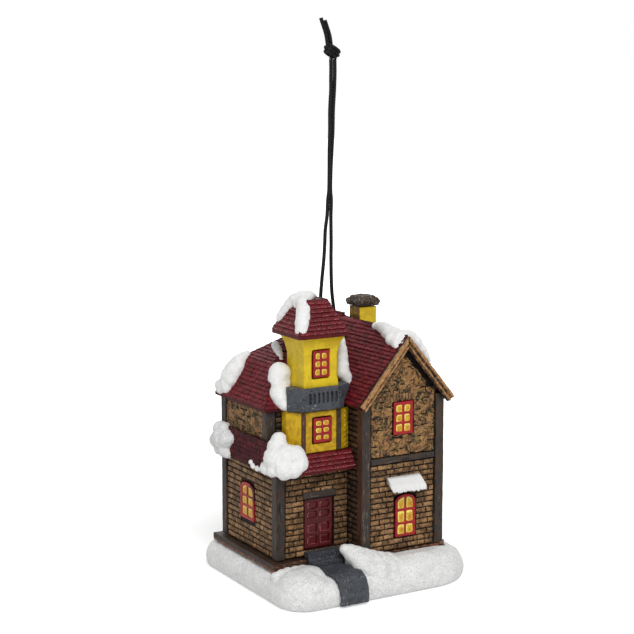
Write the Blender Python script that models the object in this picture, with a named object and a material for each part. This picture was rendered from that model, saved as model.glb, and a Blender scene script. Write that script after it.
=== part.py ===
"""Light-up christmas house: a small painted resin house on a snowy base, with a hanging loop.

The house stands on +Z, its front looks along -Y and +X is to the right seen from the front.
The origin is on the ground, in the middle of the house. Lengths are in metres.
"""
from math import asin, cos, pi, radians, sin, sqrt

import bmesh
import bpy
from mathutils import Matrix, Vector

MM = 0.001

# Clearance between neighbouring solids
GAP = 0.3 * MM

# Footprint of the house on its base
HOUSE_WIDTH = 48.0 * MM
MAIN_DEPTH = 31.4 * MM
WING_WIDTH = 26.0 * MM
WING_REACH = 7.0 * MM
UPPER_SETBACK = 5.0 * MM
LEFT_MARGIN = 4.2 * MM
RIGHT_MARGIN = 8.5 * MM
FRONT_MARGIN = 8.6 * MM
BACK_MARGIN = 7.4 * MM

# Heights
BASE_HEIGHT = 7.2 * MM
BASE_CORNERS = (12.0 * MM, 7.0 * MM, 8.0 * MM, 15.0 * MM)
BASE_EDGE = 3.4 * MM
PLINTH_HEIGHT = 2.0 * MM
PLINTH_STEP = 1.9 * MM
LOWER_STOREY = 22.9 * MM
UPPER_STOREY = 15.7 * MM
BEAM_RISE = 0.9 * MM
BEAM_HEIGHT = 1.6 * MM

# Walls and timber
WALL = 2.0 * MM
POST = 2.6 * MM
PROUD = 0.35 * MM

# Skirt roof between the storeys
SKIRT_HEIGHT = 4.7 * MM
SKIRT_REACH = 3.7 * MM
SKIRT_LIP = 0.5 * MM
SIDE_SKIRT_HEIGHT = 8.0 * MM
SIDE_SKIRT_REACH = 1.3 * MM

# Door, steps and path
ENTRANCE_ASIDE = 0.9 * MM
DOOR_WIDTH = 8.6 * MM
DOOR_HEIGHT = 13.5 * MM
DOOR_THICKNESS = 1.2 * MM
SILL_HEIGHT = 1.4 * MM
LINTEL_HEIGHT = 1.3 * MM
STEP_WIDTH = 9.8 * MM
STEP_REACH = 2.6 * MM
STEP_HEIGHT = 1.8 * MM
PATH_WIDTH = 8.4 * MM
PATH_THICKNESS = 0.7 * MM

# Windows
FRAME_DEPTH = 0.6 * MM
FRAME_BORDER = 0.9 * MM
FRAME_BAR = 0.7 * MM
FRAME_PROUD = 0.15 * MM
PANE_THICKNESS = 0.6 * MM
FRONT_WINDOW = (7.0 * MM, 12.2 * MM)
FRONT_SILL = 3.0 * MM
FRONT_ASIDE = 0.9 * MM
GABLE_WINDOW = (6.7 * MM, 9.5 * MM)
GABLE_SILL = 5.2 * MM
SIDE_WINDOW = (8.4 * MM, 10.8 * MM)
SIDE_SILL = 7.0 * MM
SIDE_ASIDE = 1.0 * MM
BAY_WINDOW = (6.0 * MM, 7.2 * MM)
BAY_SILL = 2.3 * MM
TOWER_WINDOW = (5.4 * MM, 7.8 * MM)
TOWER_SILL = 6.9 * MM
ARCH_RISE = 1.6 * MM

# Awning over the lower front window
AWNING_WIDTH = 10.4 * MM
AWNING_REACH = 3.4 * MM
AWNING_DROP = 2.3 * MM
AWNING_ABOVE = 1.4 * MM
AWNING_THICKNESS = 1.4 * MM

# Bay over the door, and the balcony round it
BAY_WIDTH = 11.2 * MM
BAY_CHAMFER = 3.4 * MM
BAY_REACH = 1.2 * MM
BAY_HEIGHT = 11.0 * MM
BAY_WALL = 1.3 * MM
BALCONY_PROUD = 1.0 * MM
BALCONY_FLOOR = 1.0 * MM
BALCONY_RAIL = 5.2 * MM
BALCONY_DEPTH = 5.6 * MM

# Tower
TOWER_WIDTH = 10.0 * MM
TOWER_DEPTH = 9.4 * MM
TOWER_SET = 0.5 * MM
TOWER_HEIGHT = 17.8 * MM
TOWER_WALL = 1.3 * MM
TOWER_FLARE = 1.5 * MM
TOWER_FOOT_FLARE = 0.3 * MM
TOWER_EAVE = 2.5 * MM
TOWER_EAVE_THICKNESS = 0.9 * MM
TOWER_ROOF_HEIGHT = 8.5 * MM
TOWER_ROOF_TOP = (5.7 * MM, 7.4 * MM)
TOWER_ROOF_ASIDE = 0.5 * MM

# Main roof: a steep foot and a flatter top
ROOF_OVERHANG = 1.2 * MM
ROOF_LIP = 0.7 * MM
ROOF_FOOT_RUN = 6.0 * MM
ROOF_FOOT_RISE = 10.4 * MM
ROOF_TOP_RISE = 5.9 * MM
ROOF_SHELL = 1.7 * MM

# Wing roof
WING_RIDGE = 19.0 * MM
WING_RIDGE_CLIMB = 2.1 * MM
WING_EAVE_LIFT = 1.3 * MM
WING_OVERHANG = 1.9 * MM
WING_ROOF_THICKNESS = 1.5 * MM
BARGE_THICKNESS = 1.1 * MM
BARGE_WIDTH = 2.4 * MM

# Chimney on the far slope of the wing roof
CHIMNEY_WIDTH = 5.5 * MM
CHIMNEY_HEIGHT = 2.9 * MM
CHIMNEY_FROM_BACK = 8.4 * MM
CHIMNEY_FROM_RIDGE = 1.3 * MM
CAP_REACH = 0.8 * MM
CAP_HEIGHT = 2.7 * MM

# Snow on the roofs and drifts on the base: where each lump's middle is, and its radii
SKIRT_FRONT_LUMPS = (
    (1.85 * MM, 1.8 * MM, 9.1 * MM, 1.9 * MM),
    (1.15 * MM, 1.3 * MM, 7.2 * MM, 2.7 * MM),
    (-0.05 * MM, 0 * MM, 4.6 * MM, 3.2 * MM),
    (1.95 * MM, -1.2 * MM, 5 * MM, 3.4 * MM),
    (4.35 * MM, -2.2 * MM, 5.2 * MM, 2.8 * MM),
    (5.05 * MM, -2.8 * MM, 3.3 * MM, 2.6 * MM),
    (0.75 * MM, -2.8 * MM, 2.1 * MM, 2.7 * MM),
    (3.15 * MM, -3.4 * MM, 2 * MM, 2.3 * MM),
    (-1.45 * MM, 2 * MM, 1.9 * MM, 1.9 * MM))
SKIRT_BACK_AT = (-0.8 * MM, -3.6 * MM, 4.1 * MM)
SKIRT_BACK_SNOW = (4.0 * MM, 6.3 * MM, 5.5 * MM)
CORNER_AT = (2.9 * MM, -2.6 * MM, 6.4 * MM)
CORNER_SNOW = (9.0 * MM, 3.9 * MM, 2.6 * MM)
TOWER_LEFT_LUMPS = (
    (-2.65 * MM, 3 * MM, 9.2 * MM, 3 * MM),
    (-3.65 * MM, 2.6 * MM, 8 * MM, 2.4 * MM),
    (-2.25 * MM, 2.2 * MM, 6.6 * MM, 2.2 * MM),
    (-3.95 * MM, 0.4 * MM, 4.4 * MM, 2.8 * MM),
    (-3.45 * MM, -0.6 * MM, 3.3 * MM, 2.3 * MM),
    (-3.45 * MM, -1.8 * MM, 2 * MM, 1.4 * MM))
TOWER_HIGH_AT = (1.8 * MM, 2.2 * MM, 13.2 * MM)
TOWER_HIGH_SNOW = (1.9 * MM, 2.4 * MM, 6.8 * MM)
TOWER_LOW_AT = (2.7 * MM, 2.6 * MM, 8.4 * MM)
TOWER_LOW_SNOW = (2.4 * MM, 2.8 * MM, 4.0 * MM)
CROWN_AT = (-0.3 * MM, 0.2 * MM, -0.2 * MM)
CROWN_SNOW = (4.6 * MM, 5.4 * MM, 2.4 * MM)
BACK_HIP_AT = (-4.9 * MM, 5.2 * MM, -4.0 * MM)
BACK_HIP_SNOW = (6.6 * MM, 2.6 * MM, 2.3 * MM)
FRONT_HIP_AT = (-4.6 * MM, -4.9 * MM, -3.4 * MM)
FRONT_HIP_SNOW = (5.4 * MM, 1.9 * MM, 1.7 * MM)
RIDGE_AT = (0.6 * MM, 5.8 * MM, -0.6 * MM)
RIDGE_SNOW = (9.2 * MM, 4.6 * MM, 2.8 * MM)
SLOPE_AT = (3.4 * MM, -0.6 * MM, -2.6 * MM)
SLOPE_SNOW = (5.2 * MM, 2.9 * MM, 1.9 * MM)
LEFT_DRIFT_AT = (3.6 * MM, -8.0 * MM, -1.8 * MM)
LEFT_DRIFT = (7.4 * MM, 7.3 * MM, 4.0 * MM)
PATH_DRIFT_AT = (6.0 * MM, -7.2 * MM, -1.8 * MM)
PATH_DRIFT = (5.4 * MM, 6.4 * MM, 4.2 * MM)
WING_DRIFT_AT = (1.0 * MM, -0.9 * MM, -2.0 * MM)
WING_DRIFT = (17.6 * MM, 7.4 * MM, 5.0 * MM)
NEAR_DRIFT_AT = (-11.4 * MM, 0.2 * MM, -1.3 * MM)
NEAR_DRIFT = (7.2 * MM, 8.4 * MM, 5.4 * MM)
FAR_DRIFT_AT = (9.0 * MM, 1.2 * MM, -2.3 * MM)
FAR_DRIFT = (10.4 * MM, 7.6 * MM, 4.7 * MM)

# Hanging eye, cord and knot
EYE_ASIDE = 4.2 * MM
EYE_WIRE = 0.8 * MM
EYE_RING = 3.8 * MM
EYE_STEM = 2.4 * MM
CORD_THICKNESS = 1.0 * MM
# The strands above the ring, in millimetres from its middle: they close up and turn a little round each other
LEFT_STRAND = (
    (-1.97, 0.0, 9.6), (-1.12, 0.0, 17.8), (-0.69, 0.2, 22.0), (-0.42, 0.35, 26.1), (0.03, 0.14, 30.1),
    (0.14, 0.1, 32.9), (0.17, -0.09, 34.9), (0.31, -0.32, 36.9), (0.4, -0.32, 42.4), (0.5, -0.2, 47.7),
    (0.7, -0.13, 53.1), (0.74, -0.08, 58.5), (1.07, -0.05, 63.8), (1.14, 0.1, 66.5), (1.2, 0.12, 69.1))
RIGHT_STRAND = (
    (1.44, 0.0, 9.6), (1.2, 0.0, 17.8), (1.12, -0.2, 22.0), (0.98, -0.35, 26.1), (1.07, -0.14, 30.1),
    (1.2, -0.1, 32.9), (1.29, 0.09, 34.9), (1.23, 0.32, 36.9), (1.32, 0.32, 42.4), (1.55, 0.2, 47.7),
    (1.78, 0.13, 53.1), (1.87, 0.08, 58.5), (2.18, 0.05, 63.8), (2.2, -0.1, 66.5), (2.24, -0.12, 69.1))
KNOT_RISE = 74.2 * MM
KNOT_SIZE = (5.4 * MM, 3.6 * MM, 3.7 * MM)
TAIL_LENGTH = 8.3 * MM

# Light module in the underside of the base
MODULE_HEIGHT = 5.7 * MM
MODULE_WALL = 1.4 * MM
MODULE_LEDGE = 0.8 * MM
MODULE_RECESS = 0.3 * MM
WEB_THICKNESS = 0.6 * MM
CELL_DIAMETER = 20.0 * MM
CELL_THICKNESS = 3.2 * MM
CELL_SPACE = 0.6 * MM
CELL_CLEARANCE = 0.4 * MM
HATCH_LAP = 1.5 * MM
HATCH_THICKNESS = 1.2 * MM
HATCH_LUG = 5.2 * MM
SCREW_HEAD = 3.2 * MM
SCREW_HEAD_HEIGHT = 0.5 * MM
SCREW_SHANK = 1.6 * MM
SCREW_LENGTH = 3.4 * MM
SCREW_SLOT = 0.6 * MM
BOSS_DIAMETER = 4.4 * MM
BOSS_HEIGHT = 2.2 * MM
BOARD_THICKNESS = 0.6 * MM
CLIP_WIDTH = 6.0 * MM
CLIP_THICKNESS = 0.4 * MM
CLIP_TAB = 1.9 * MM
SWITCH_SPACE = 0.7 * MM
SWITCH_CORNER = 1.9 * MM
SWITCH_BODY = (3.4 * MM, 8.4 * MM, 1.6 * MM)
SWITCH_TRAVEL = 2.0 * MM
KNOB_SIZE = (1.8 * MM, 2.2 * MM)
KNOB_PROUD = 0.2 * MM
KNOB_FLANGE = 1.6 * MM
LED_DIAMETER = 5.0 * MM
LED_HEIGHT = 8.6 * MM

# Across the light module: wall, cell, screw boss, switch, wall
CELL_BAY = CELL_DIAMETER + 2 * CELL_SPACE
SWITCH_BAY = SWITCH_SPACE + SWITCH_BODY[0] + SWITCH_CORNER
MODULE_DIAMETER = 2 * (MODULE_WALL + MODULE_LEDGE) + CELL_BAY + BOSS_DIAMETER + SWITCH_BAY
HATCH_DIAMETER = CELL_DIAMETER + 2 * HATCH_LAP
CELL_ASIDE = MODULE_DIAMETER / 2 - MODULE_WALL - MODULE_LEDGE - CELL_BAY / 2
SCREW_ASIDE = CELL_BAY / 2 - CELL_ASIDE + BOSS_DIAMETER / 2
SWITCH_ASIDE = SCREW_ASIDE + BOSS_DIAMETER / 2 + SWITCH_SPACE + SWITCH_BODY[0] / 2

# Sides of the house
BASE_WIDTH = LEFT_MARGIN + HOUSE_WIDTH + RIGHT_MARGIN
BASE_DEPTH = FRONT_MARGIN + WING_REACH + MAIN_DEPTH + BACK_MARGIN
LEFT = -BASE_WIDTH / 2 + LEFT_MARGIN
RIGHT = LEFT + HOUSE_WIDTH
WING_FRONT = -BASE_DEPTH / 2 + FRONT_MARGIN
MAIN_FRONT = WING_FRONT + WING_REACH
UPPER_FRONT = MAIN_FRONT + UPPER_SETBACK
BACK = MAIN_FRONT + MAIN_DEPTH
WING_LEFT = RIGHT - WING_WIDTH
WING_X = (WING_LEFT + RIGHT) / 2
ENTRANCE_X = (LEFT + POST + WING_LEFT) / 2 + ENTRANCE_ASIDE
EYE_X = WING_LEFT + EYE_ASIDE

# Levels
PLINTH_FOOT = BASE_HEIGHT + GAP
PLINTH_TOP = PLINTH_FOOT + PLINTH_HEIGHT
WALL_FOOT = PLINTH_TOP + GAP
LOWER_TOP = WALL_FOOT + LOWER_STOREY
UPPER_FOOT = LOWER_TOP + GAP
UPPER_TOP = UPPER_FOOT + UPPER_STOREY
EAVE = UPPER_TOP + GAP
SKIRT_TOP = UPPER_FOOT + SKIRT_HEIGHT
BAY_FOOT = SKIRT_TOP + GAP
BAY_TOP = BAY_FOOT + BAY_HEIGHT
BALCONY_FOOT = BAY_TOP + GAP
TOWER_FOOT = BALCONY_FOOT + BALCONY_FLOOR + GAP
TOWER_TOP = TOWER_FOOT + TOWER_HEIGHT
SILL_TOP = WALL_FOOT + SILL_HEIGHT
DOOR_FOOT = SILL_TOP + GAP
LINTEL_FOOT = DOOR_FOOT + DOOR_HEIGHT + GAP
BEAM_FOOT = UPPER_FOOT + BEAM_RISE
BEAM_TOP = BEAM_FOOT + BEAM_HEIGHT
HATCH_TOP = MODULE_RECESS + HATCH_THICKNESS
WEB_FOOT = HATCH_TOP + GAP
WEB_TOP = WEB_FOOT + WEB_THICKNESS
CELL_FOOT = HATCH_TOP + GAP
MODULE_TOP = MODULE_RECESS + MODULE_HEIGHT
BOARD_FOOT = MODULE_TOP - BOARD_THICKNESS
KNOT_FOOT = KNOT_RISE - KNOT_SIZE[2] / 2 - GAP

# Lines of the timber frame
INNER_LEFT = LEFT + POST + GAP
INNER_RIGHT = RIGHT - POST - GAP
INNER_BACK = BACK - POST - GAP
BRICK_LEFT = LEFT + PROUD
BRICK_RIGHT = RIGHT - PROUD
BRICK_BACK = BACK - PROUD
BRICK_FRONT = MAIN_FRONT + PROUD
BRICK_UPPER = UPPER_FRONT + PROUD
BRICK_WING = WING_FRONT + PROUD
WING_SIDE = WING_LEFT + PROUD

parts = bpy.data.collections.new("christmas_house")
cutters = bpy.data.collections.new("cutters")


def material(name, colour, roughness, metallic=0.0, alpha=1.0):
    """A plain painted or moulded finish."""
    finish = bpy.data.materials.new(name)
    finish.use_nodes = True
    shader = finish.node_tree.nodes["Principled BSDF"]
    shader.inputs["Base Color"].default_value = (*colour, 1.0)
    shader.inputs["Roughness"].default_value = roughness
    shader.inputs["Metallic"].default_value = metallic
    shader.inputs["Alpha"].default_value = alpha
    return finish


def clear_scene():
    """An empty scene with one collection for the pieces and one for their cutters."""
    for item in list(bpy.data.objects):
        bpy.data.objects.remove(item, do_unlink=True)
    bpy.context.scene.collection.children.link(parts)
    bpy.context.scene.collection.children.link(cutters)


def make_materials():
    """The finishes, by name."""
    return {
        "snow": material("snow", (0.82, 0.83, 0.84), 0.6),
        "brick": material("brick", (0.29, 0.19, 0.11), 0.75),
        "timber": material("timber", (0.07, 0.058, 0.055), 0.6),
        "plinth": material("plinth", (0.10, 0.06, 0.04), 0.7),
        "shingle": material("shingle", (0.105, 0.015, 0.022), 0.5),
        "yellow": material("yellow", (0.58, 0.43, 0.03), 0.45),
        "barge": material("barge", (0.27, 0.17, 0.085), 0.65),
        "frame": material("frame", (0.45, 0.025, 0.03), 0.4),
        "pane": material("pane", (0.75, 0.55, 0.04), 0.35, alpha=0.9),
        "door": material("door", (0.11, 0.013, 0.02), 0.5),
        "slate": material("slate", (0.055, 0.06, 0.07), 0.6),
        "cap": material("cap", (0.10, 0.095, 0.075), 0.8),
        "cord": material("cord", (0.018, 0.018, 0.022), 0.7),
        "steel": material("steel", (0.62, 0.62, 0.64), 0.3, 1.0),
        "black_plastic": material("black_plastic", (0.02, 0.02, 0.022), 0.45),
        "board": material("board", (0.02, 0.16, 0.07), 0.5),
        "led": material("led", (0.85, 0.80, 0.62), 0.15, alpha=0.8),
    }


def add(name, mesh, finish):
    """A named piece from a mesh."""
    mesh.name = name
    piece = bpy.data.objects.new(name, mesh)
    parts.objects.link(piece)
    if finish:
        mesh.materials.clear()
        mesh.materials.append(finish)
    return piece


def from_bmesh(name, mesh_edit, finish, smooth=False):
    """A named piece from an edited mesh, with its faces pointing out."""
    bmesh.ops.recalc_face_normals(mesh_edit, faces=mesh_edit.faces)
    mesh = bpy.data.meshes.new(name)
    mesh_edit.to_mesh(mesh)
    mesh_edit.free()
    if smooth:
        mesh.shade_smooth()
        mesh.set_sharp_from_angle(angle=radians(40))
    return add(name, mesh, finish)


def cutter(piece):
    """Turn a piece into a hidden cutter."""
    parts.objects.unlink(piece)
    cutters.objects.link(piece)
    piece.hide_render = True
    piece.display_type = "WIRE"
    return piece


def combine(piece, tool, operation="DIFFERENCE"):
    """Cut a tool from a piece, or join it on."""
    modifier = piece.modifiers.new(operation.title(), "BOOLEAN")
    modifier.operation = operation
    modifier.solver = "EXACT"
    modifier.object = tool
    return piece


def box(name, low, high, finish):
    """A box between two corners."""
    low = Vector(low)
    high = Vector(high)
    mesh_edit = bmesh.new()
    bmesh.ops.create_cube(mesh_edit, size=1.0)
    bmesh.ops.scale(mesh_edit, vec=high - low, verts=mesh_edit.verts)
    bmesh.ops.translate(mesh_edit, vec=(low + high) / 2, verts=mesh_edit.verts)
    return from_bmesh(name, mesh_edit, finish)


def prism(name, outlines, low, high, finish, along="Z"):
    """A flat outline, with any holes, given a thickness along X, Y or Z."""
    curve = bpy.data.curves.new(name, "CURVE")
    curve.dimensions = "2D"
    curve.fill_mode = "BOTH"
    curve.extrude = (high - low) / 2
    for outline in outlines:
        spline = curve.splines.new("POLY")
        spline.points.add(len(outline) - 1)
        spline.use_cyclic_u = True
        for point, (u, v) in zip(spline.points, outline):
            point.co = (u, v, 0.0, 1.0)
    shape = bpy.data.objects.new(name, curve)
    parts.objects.link(shape)
    depsgraph = bpy.context.evaluated_depsgraph_get()
    mesh = bpy.data.meshes.new_from_object(shape.evaluated_get(depsgraph))
    bpy.data.objects.remove(shape, do_unlink=True)
    middle = (low + high) / 2
    place = {
        "Z": Matrix.Translation((0, 0, middle)),
        "Y": Matrix.Translation((0, middle, 0)) @ Matrix.Rotation(pi / 2, 4, "X"),
        "X": Matrix.Translation((middle, 0, 0))
        @ Matrix(((0, 0, 1, 0), (1, 0, 0, 0), (0, 1, 0, 0), (0, 0, 0, 1))),
    }[along]
    mesh_edit = bmesh.new()
    mesh_edit.from_mesh(mesh)
    bpy.data.meshes.remove(mesh)
    bmesh.ops.remove_doubles(mesh_edit, verts=mesh_edit.verts, dist=0.001 * MM)
    bmesh.ops.transform(mesh_edit, matrix=place, verts=mesh_edit.verts)
    return from_bmesh(name, mesh_edit, finish)


def hull(name, points, finish):
    """The convex solid through a set of corners."""
    mesh_edit = bmesh.new()
    for point in points:
        mesh_edit.verts.new(point)
    result = bmesh.ops.convex_hull(mesh_edit, input=mesh_edit.verts)
    unused = [item for item in result["geom_interior"] if isinstance(item, bmesh.types.BMVert)]
    bmesh.ops.delete(mesh_edit, geom=unused, context="VERTS")
    bmesh.ops.dissolve_limit(
        mesh_edit, angle_limit=radians(0.05), verts=mesh_edit.verts, edges=mesh_edit.edges)
    return from_bmesh(name, mesh_edit, finish)


def loft(name, rings, finish, smooth=False):
    """A closed skin through rings of points, bottom to top."""
    mesh_edit = bmesh.new()
    rows = [[mesh_edit.verts.new(point) for point in ring] for ring in rings]
    count = len(rows[0])
    for below, above in zip(rows, rows[1:]):
        for i in range(count):
            j = (i + 1) % count
            mesh_edit.faces.new((below[i], below[j], above[j], above[i]))
    mesh_edit.faces.new(list(reversed(rows[0])))
    mesh_edit.faces.new(rows[-1])
    return from_bmesh(name, mesh_edit, finish, smooth)


def cylinder(name, centre, diameter, low, high, finish, sides=32):
    """An upright cylinder round a centre in plan."""
    mesh_edit = bmesh.new()
    bmesh.ops.create_cone(
        mesh_edit, cap_ends=True, segments=sides, radius1=diameter / 2, radius2=diameter / 2, depth=high - low)
    bmesh.ops.translate(mesh_edit, vec=(centre[0], centre[1], (low + high) / 2), verts=mesh_edit.verts)
    return from_bmesh(name, mesh_edit, finish, smooth=True)


def lump(name, centre, radii, finish, turn=None, level=3):
    """A rounded lump of snow."""
    mesh_edit = bmesh.new()
    bmesh.ops.create_icosphere(mesh_edit, subdivisions=level, radius=1.0)
    bmesh.ops.scale(mesh_edit, vec=radii, verts=mesh_edit.verts)
    if turn:
        bmesh.ops.transform(mesh_edit, matrix=turn, verts=mesh_edit.verts)
    bmesh.ops.translate(mesh_edit, vec=centre, verts=mesh_edit.verts)
    return from_bmesh(name, mesh_edit, finish, smooth=True)


def tube(name, points, thickness, finish, resolution=2):
    """A round cord or wire along a list of points, with flat caps."""
    curve = bpy.data.curves.new(name, "CURVE")
    curve.dimensions = "3D"
    curve.bevel_depth = thickness / 2
    curve.bevel_resolution = resolution
    curve.use_fill_caps = True
    spline = curve.splines.new("POLY")
    spline.points.add(len(points) - 1)
    for point, co in zip(spline.points, points):
        point.co = (*co, 1.0)
    curve.materials.append(finish)
    piece = bpy.data.objects.new(name, curve)
    parts.objects.link(piece)
    return piece


def solid_tube(name, points, thickness, finish, resolution=2):
    """A tube as a welded mesh, which can be joined or cut."""
    shape = tube(name, points, thickness, finish, resolution)
    depsgraph = bpy.context.evaluated_depsgraph_get()
    mesh = bpy.data.meshes.new_from_object(shape.evaluated_get(depsgraph))
    bpy.data.objects.remove(shape, do_unlink=True)
    mesh_edit = bmesh.new()
    mesh_edit.from_mesh(mesh)
    bpy.data.meshes.remove(mesh)
    bmesh.ops.remove_doubles(mesh_edit, verts=mesh_edit.verts, dist=0.001 * MM)
    return from_bmesh(name, mesh_edit, finish, smooth=True)


def smooth_route(points, spacing):
    """Points at an even spacing along a smooth curve through a few chosen ones."""
    chosen = [Vector(point) for point in points]
    ends = [2 * chosen[0] - chosen[1]] + chosen + [2 * chosen[-1] - chosen[-2]]
    fine = []
    steps = 24
    for a, b, c, d in zip(ends, ends[1:], ends[2:], ends[3:]):
        for i in range(steps):
            t = i / steps
            fine.append(
                0.5 * (2 * b + (c - a) * t + (2 * a - 5 * b + 4 * c - d) * t ** 2
                       + (3 * b - a - 3 * c + d) * t ** 3))
    fine.append(chosen[-1])
    length = sum((q - p).length for p, q in zip(fine, fine[1:]))
    count = round(length / spacing)
    route = [fine[0]]
    walked = 0.0
    for p, q in zip(fine, fine[1:]):
        step = (q - p).length
        while walked + step >= length * len(route) / count and len(route) < count:
            route.append(p.lerp(q, (length * len(route) / count - walked) / step))
        walked += step
    route.append(fine[-1])
    return route


def rectangle(left, bottom, right, top):
    """Corners of a rectangle."""
    return [(left, bottom), (right, bottom), (right, top), (left, top)]


def arched(left, bottom, right, top, rise, steps=8):
    """Corners of a window outline whose top is an arch that rises by the given height."""
    middle = (left + right) / 2
    half = (right - left) / 2
    spring = top - rise
    arch = [
        (middle + half * cos(pi * i / steps), spring + rise * sin(pi * i / steps)) for i in range(steps + 1)]
    return [(left, bottom), (right, bottom)] + arch


def window_outline(size, rise, inset=0.0):
    """Outline of a window, from the middle of its sill, drawn in by an inset."""
    width, height = size
    half = width / 2 - inset
    if rise:
        return arched(-half, inset, half, height - inset, rise * half / (width / 2))
    return rectangle(-half, inset, half, height - inset)


def lights(size, rise):
    """The six lights of a window, two across and three up."""
    width, height = size
    inset = GAP + FRAME_BORDER
    half = width / 2 - inset
    low = inset
    high = height - inset
    arch = rise * half / (width / 2)
    spring = high - arch
    light = (high - low - 2 * FRAME_BAR) / 3
    outlines = []
    for left, right in ((-half, -FRAME_BAR / 2), (FRAME_BAR / 2, half)):
        for row in range(3):
            bottom = low + row * (light + FRAME_BAR)
            top = bottom + light
            if row < 2 or not rise:
                outlines.append(rectangle(left, bottom, right, top))
                continue
            steps = 5
            across = [right + (left - right) * i / steps for i in range(steps + 1)]
            curve = [(x, spring + arch * sqrt(max(0.0, 1 - (x / half) ** 2))) for x in across]
            outlines.append([(left, bottom), (right, bottom)] + curve)
    return outlines


def make_window(name, size, rise, x, y, sill, facing, finish):
    """A moulded window, with its frame and bars standing proud of six sunken lights.

    The point is the middle of the sill on the wall's face.
    """
    turn = {"front": 0.0, "left": -pi / 2}[facing]
    place = Matrix.Translation((x, y, sill)) @ Matrix.Rotation(turn, 4, "Z")
    deep = FRAME_DEPTH + PANE_THICKNESS - FRAME_PROUD
    window = prism(name, [window_outline(size, rise, GAP)], -FRAME_PROUD, deep, finish, "Y")
    sunken = cutter(prism(
        name + "_lights", lights(size, rise), -FRAME_PROUD - MM, FRAME_DEPTH - FRAME_PROUD, None, "Y"))
    window.matrix_world = place
    sunken.matrix_world = place
    combine(window, sunken)


def shifted(outline, u, v):
    """An outline moved in its plane."""
    return [(u + a, v + b) for a, b in outline]


def base_ring(z, inset, corner_steps=7):
    """A rounded rectangle round the base at one height, from its back right corner."""
    ring = []
    sides = ((1, 1), (-1, 1), (-1, -1), (1, -1))
    for quarter, ((side_x, side_y), corner) in enumerate(zip(sides, BASE_CORNERS)):
        radius = corner - inset
        x = side_x * (BASE_WIDTH / 2 - inset - radius)
        y = side_y * (BASE_DEPTH / 2 - inset - radius)
        for i in range(corner_steps + 1):
            angle = pi / 2 * (quarter + i / corner_steps)
            ring.append((x + radius * cos(angle), y + radius * sin(angle), z))
    return ring


def base_form(name, finish, grow=0.0):
    """The rounded snowy base, or the same form a little larger."""
    profile = ((0.0, 1.2), (0.06, 0.5), (0.2, 0.1), (0.4, 0.0), (0.62, 0.35), (0.8, 1.1), (0.93, 2.2))
    rings = [
        base_ring(level * BASE_HEIGHT + grow * (2 * level - 1), inset * MM - grow) for level, inset in profile]
    rings.append(base_ring(BASE_HEIGHT + grow, BASE_EDGE - grow))
    return loft(name, rings, finish, smooth=True)


def beside(point, step):
    """The point that lies a step away from another."""
    return [start + move for start, move in zip(point, step)]


def path_outline(grow=0.0):
    """Plan of the slate path, from the steps out over the front edge of the base."""
    far = MAIN_FRONT - PLINTH_STEP - GAP - STEP_REACH - GAP + grow
    left = ENTRANCE_X - PATH_WIDTH / 2 - grow
    right = ENTRANCE_X + PATH_WIDTH / 2 + grow
    bend = -BASE_DEPTH / 2 + 5.0 * MM
    near = -BASE_DEPTH / 2 - 2.0 * MM
    return [
        (left, far), (left + 0.2 * MM, bend), (left + 1.2 * MM, near),
        (right + 1.2 * MM, near), (right + 0.6 * MM, bend), (right, far)]


def plinth_outline(grow=0.0):
    """Plan of the stone ledge under the walls."""
    ledge = PLINTH_STEP + grow
    return [
        (LEFT - ledge, MAIN_FRONT - ledge), (WING_LEFT - grow, MAIN_FRONT - ledge),
        (WING_LEFT - grow, WING_FRONT - grow), (RIGHT + grow, WING_FRONT - grow),
        (RIGHT + ledge, WING_FRONT + PLINTH_STEP), (RIGHT + ledge, BACK + ledge),
        (LEFT - ledge, BACK + ledge)]


def make_base(finishes):
    """Snowy base with its drifts and the hole for the light module."""
    base = base_form("snow_base", finishes["snow"])
    path_room = cutter(prism("path_room", [path_outline(GAP)], -MM, 4 * BASE_HEIGHT, None))
    house_corner = (LEFT, MAIN_FRONT, BASE_HEIGHT)
    wing_foot = (WING_X, WING_FRONT, BASE_HEIGHT)
    drifts = (
        ("drift_left", beside(house_corner, LEFT_DRIFT_AT), LEFT_DRIFT),
        ("drift_path", beside(house_corner, PATH_DRIFT_AT), PATH_DRIFT),
        ("drift_right", beside(wing_foot, WING_DRIFT_AT), WING_DRIFT),
        ("drift_corner", beside(wing_foot, NEAR_DRIFT_AT), NEAR_DRIFT),
        ("drift_far", beside(wing_foot, FAR_DRIFT_AT), FAR_DRIFT),
    )
    for name, centre, radii in drifts:
        drift = lump(name, centre, radii, None, level=2)
        combine(drift, path_room)
        combine(base, cutter(drift), "UNION")
    ground = BASE_HEIGHT + 0.1 * GAP
    house_room = prism("house_room", [plinth_outline(GAP)], ground, 4 * BASE_HEIGHT, None)
    combine(base, cutter(house_room))
    step_front = MAIN_FRONT - PLINTH_STEP - GAP - STEP_REACH
    half = STEP_WIDTH / 2 + GAP
    steps_room = box(
        "steps_room", (ENTRANCE_X - half, step_front - 2 * GAP, ground),
        (ENTRANCE_X + half, MAIN_FRONT, 4 * BASE_HEIGHT), None)
    combine(base, cutter(steps_room))
    hole = cylinder("module_hole", (0, 0), MODULE_DIAMETER + 2 * GAP, -MM, MODULE_TOP + GAP, None, 48)
    combine(base, cutter(hole))
    bore = cylinder("lamp_bore", (0, 0), LED_DIAMETER + 4 * GAP, MODULE_TOP, PLINTH_FOOT + MM, None, 20)
    combine(base, cutter(bore))


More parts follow.
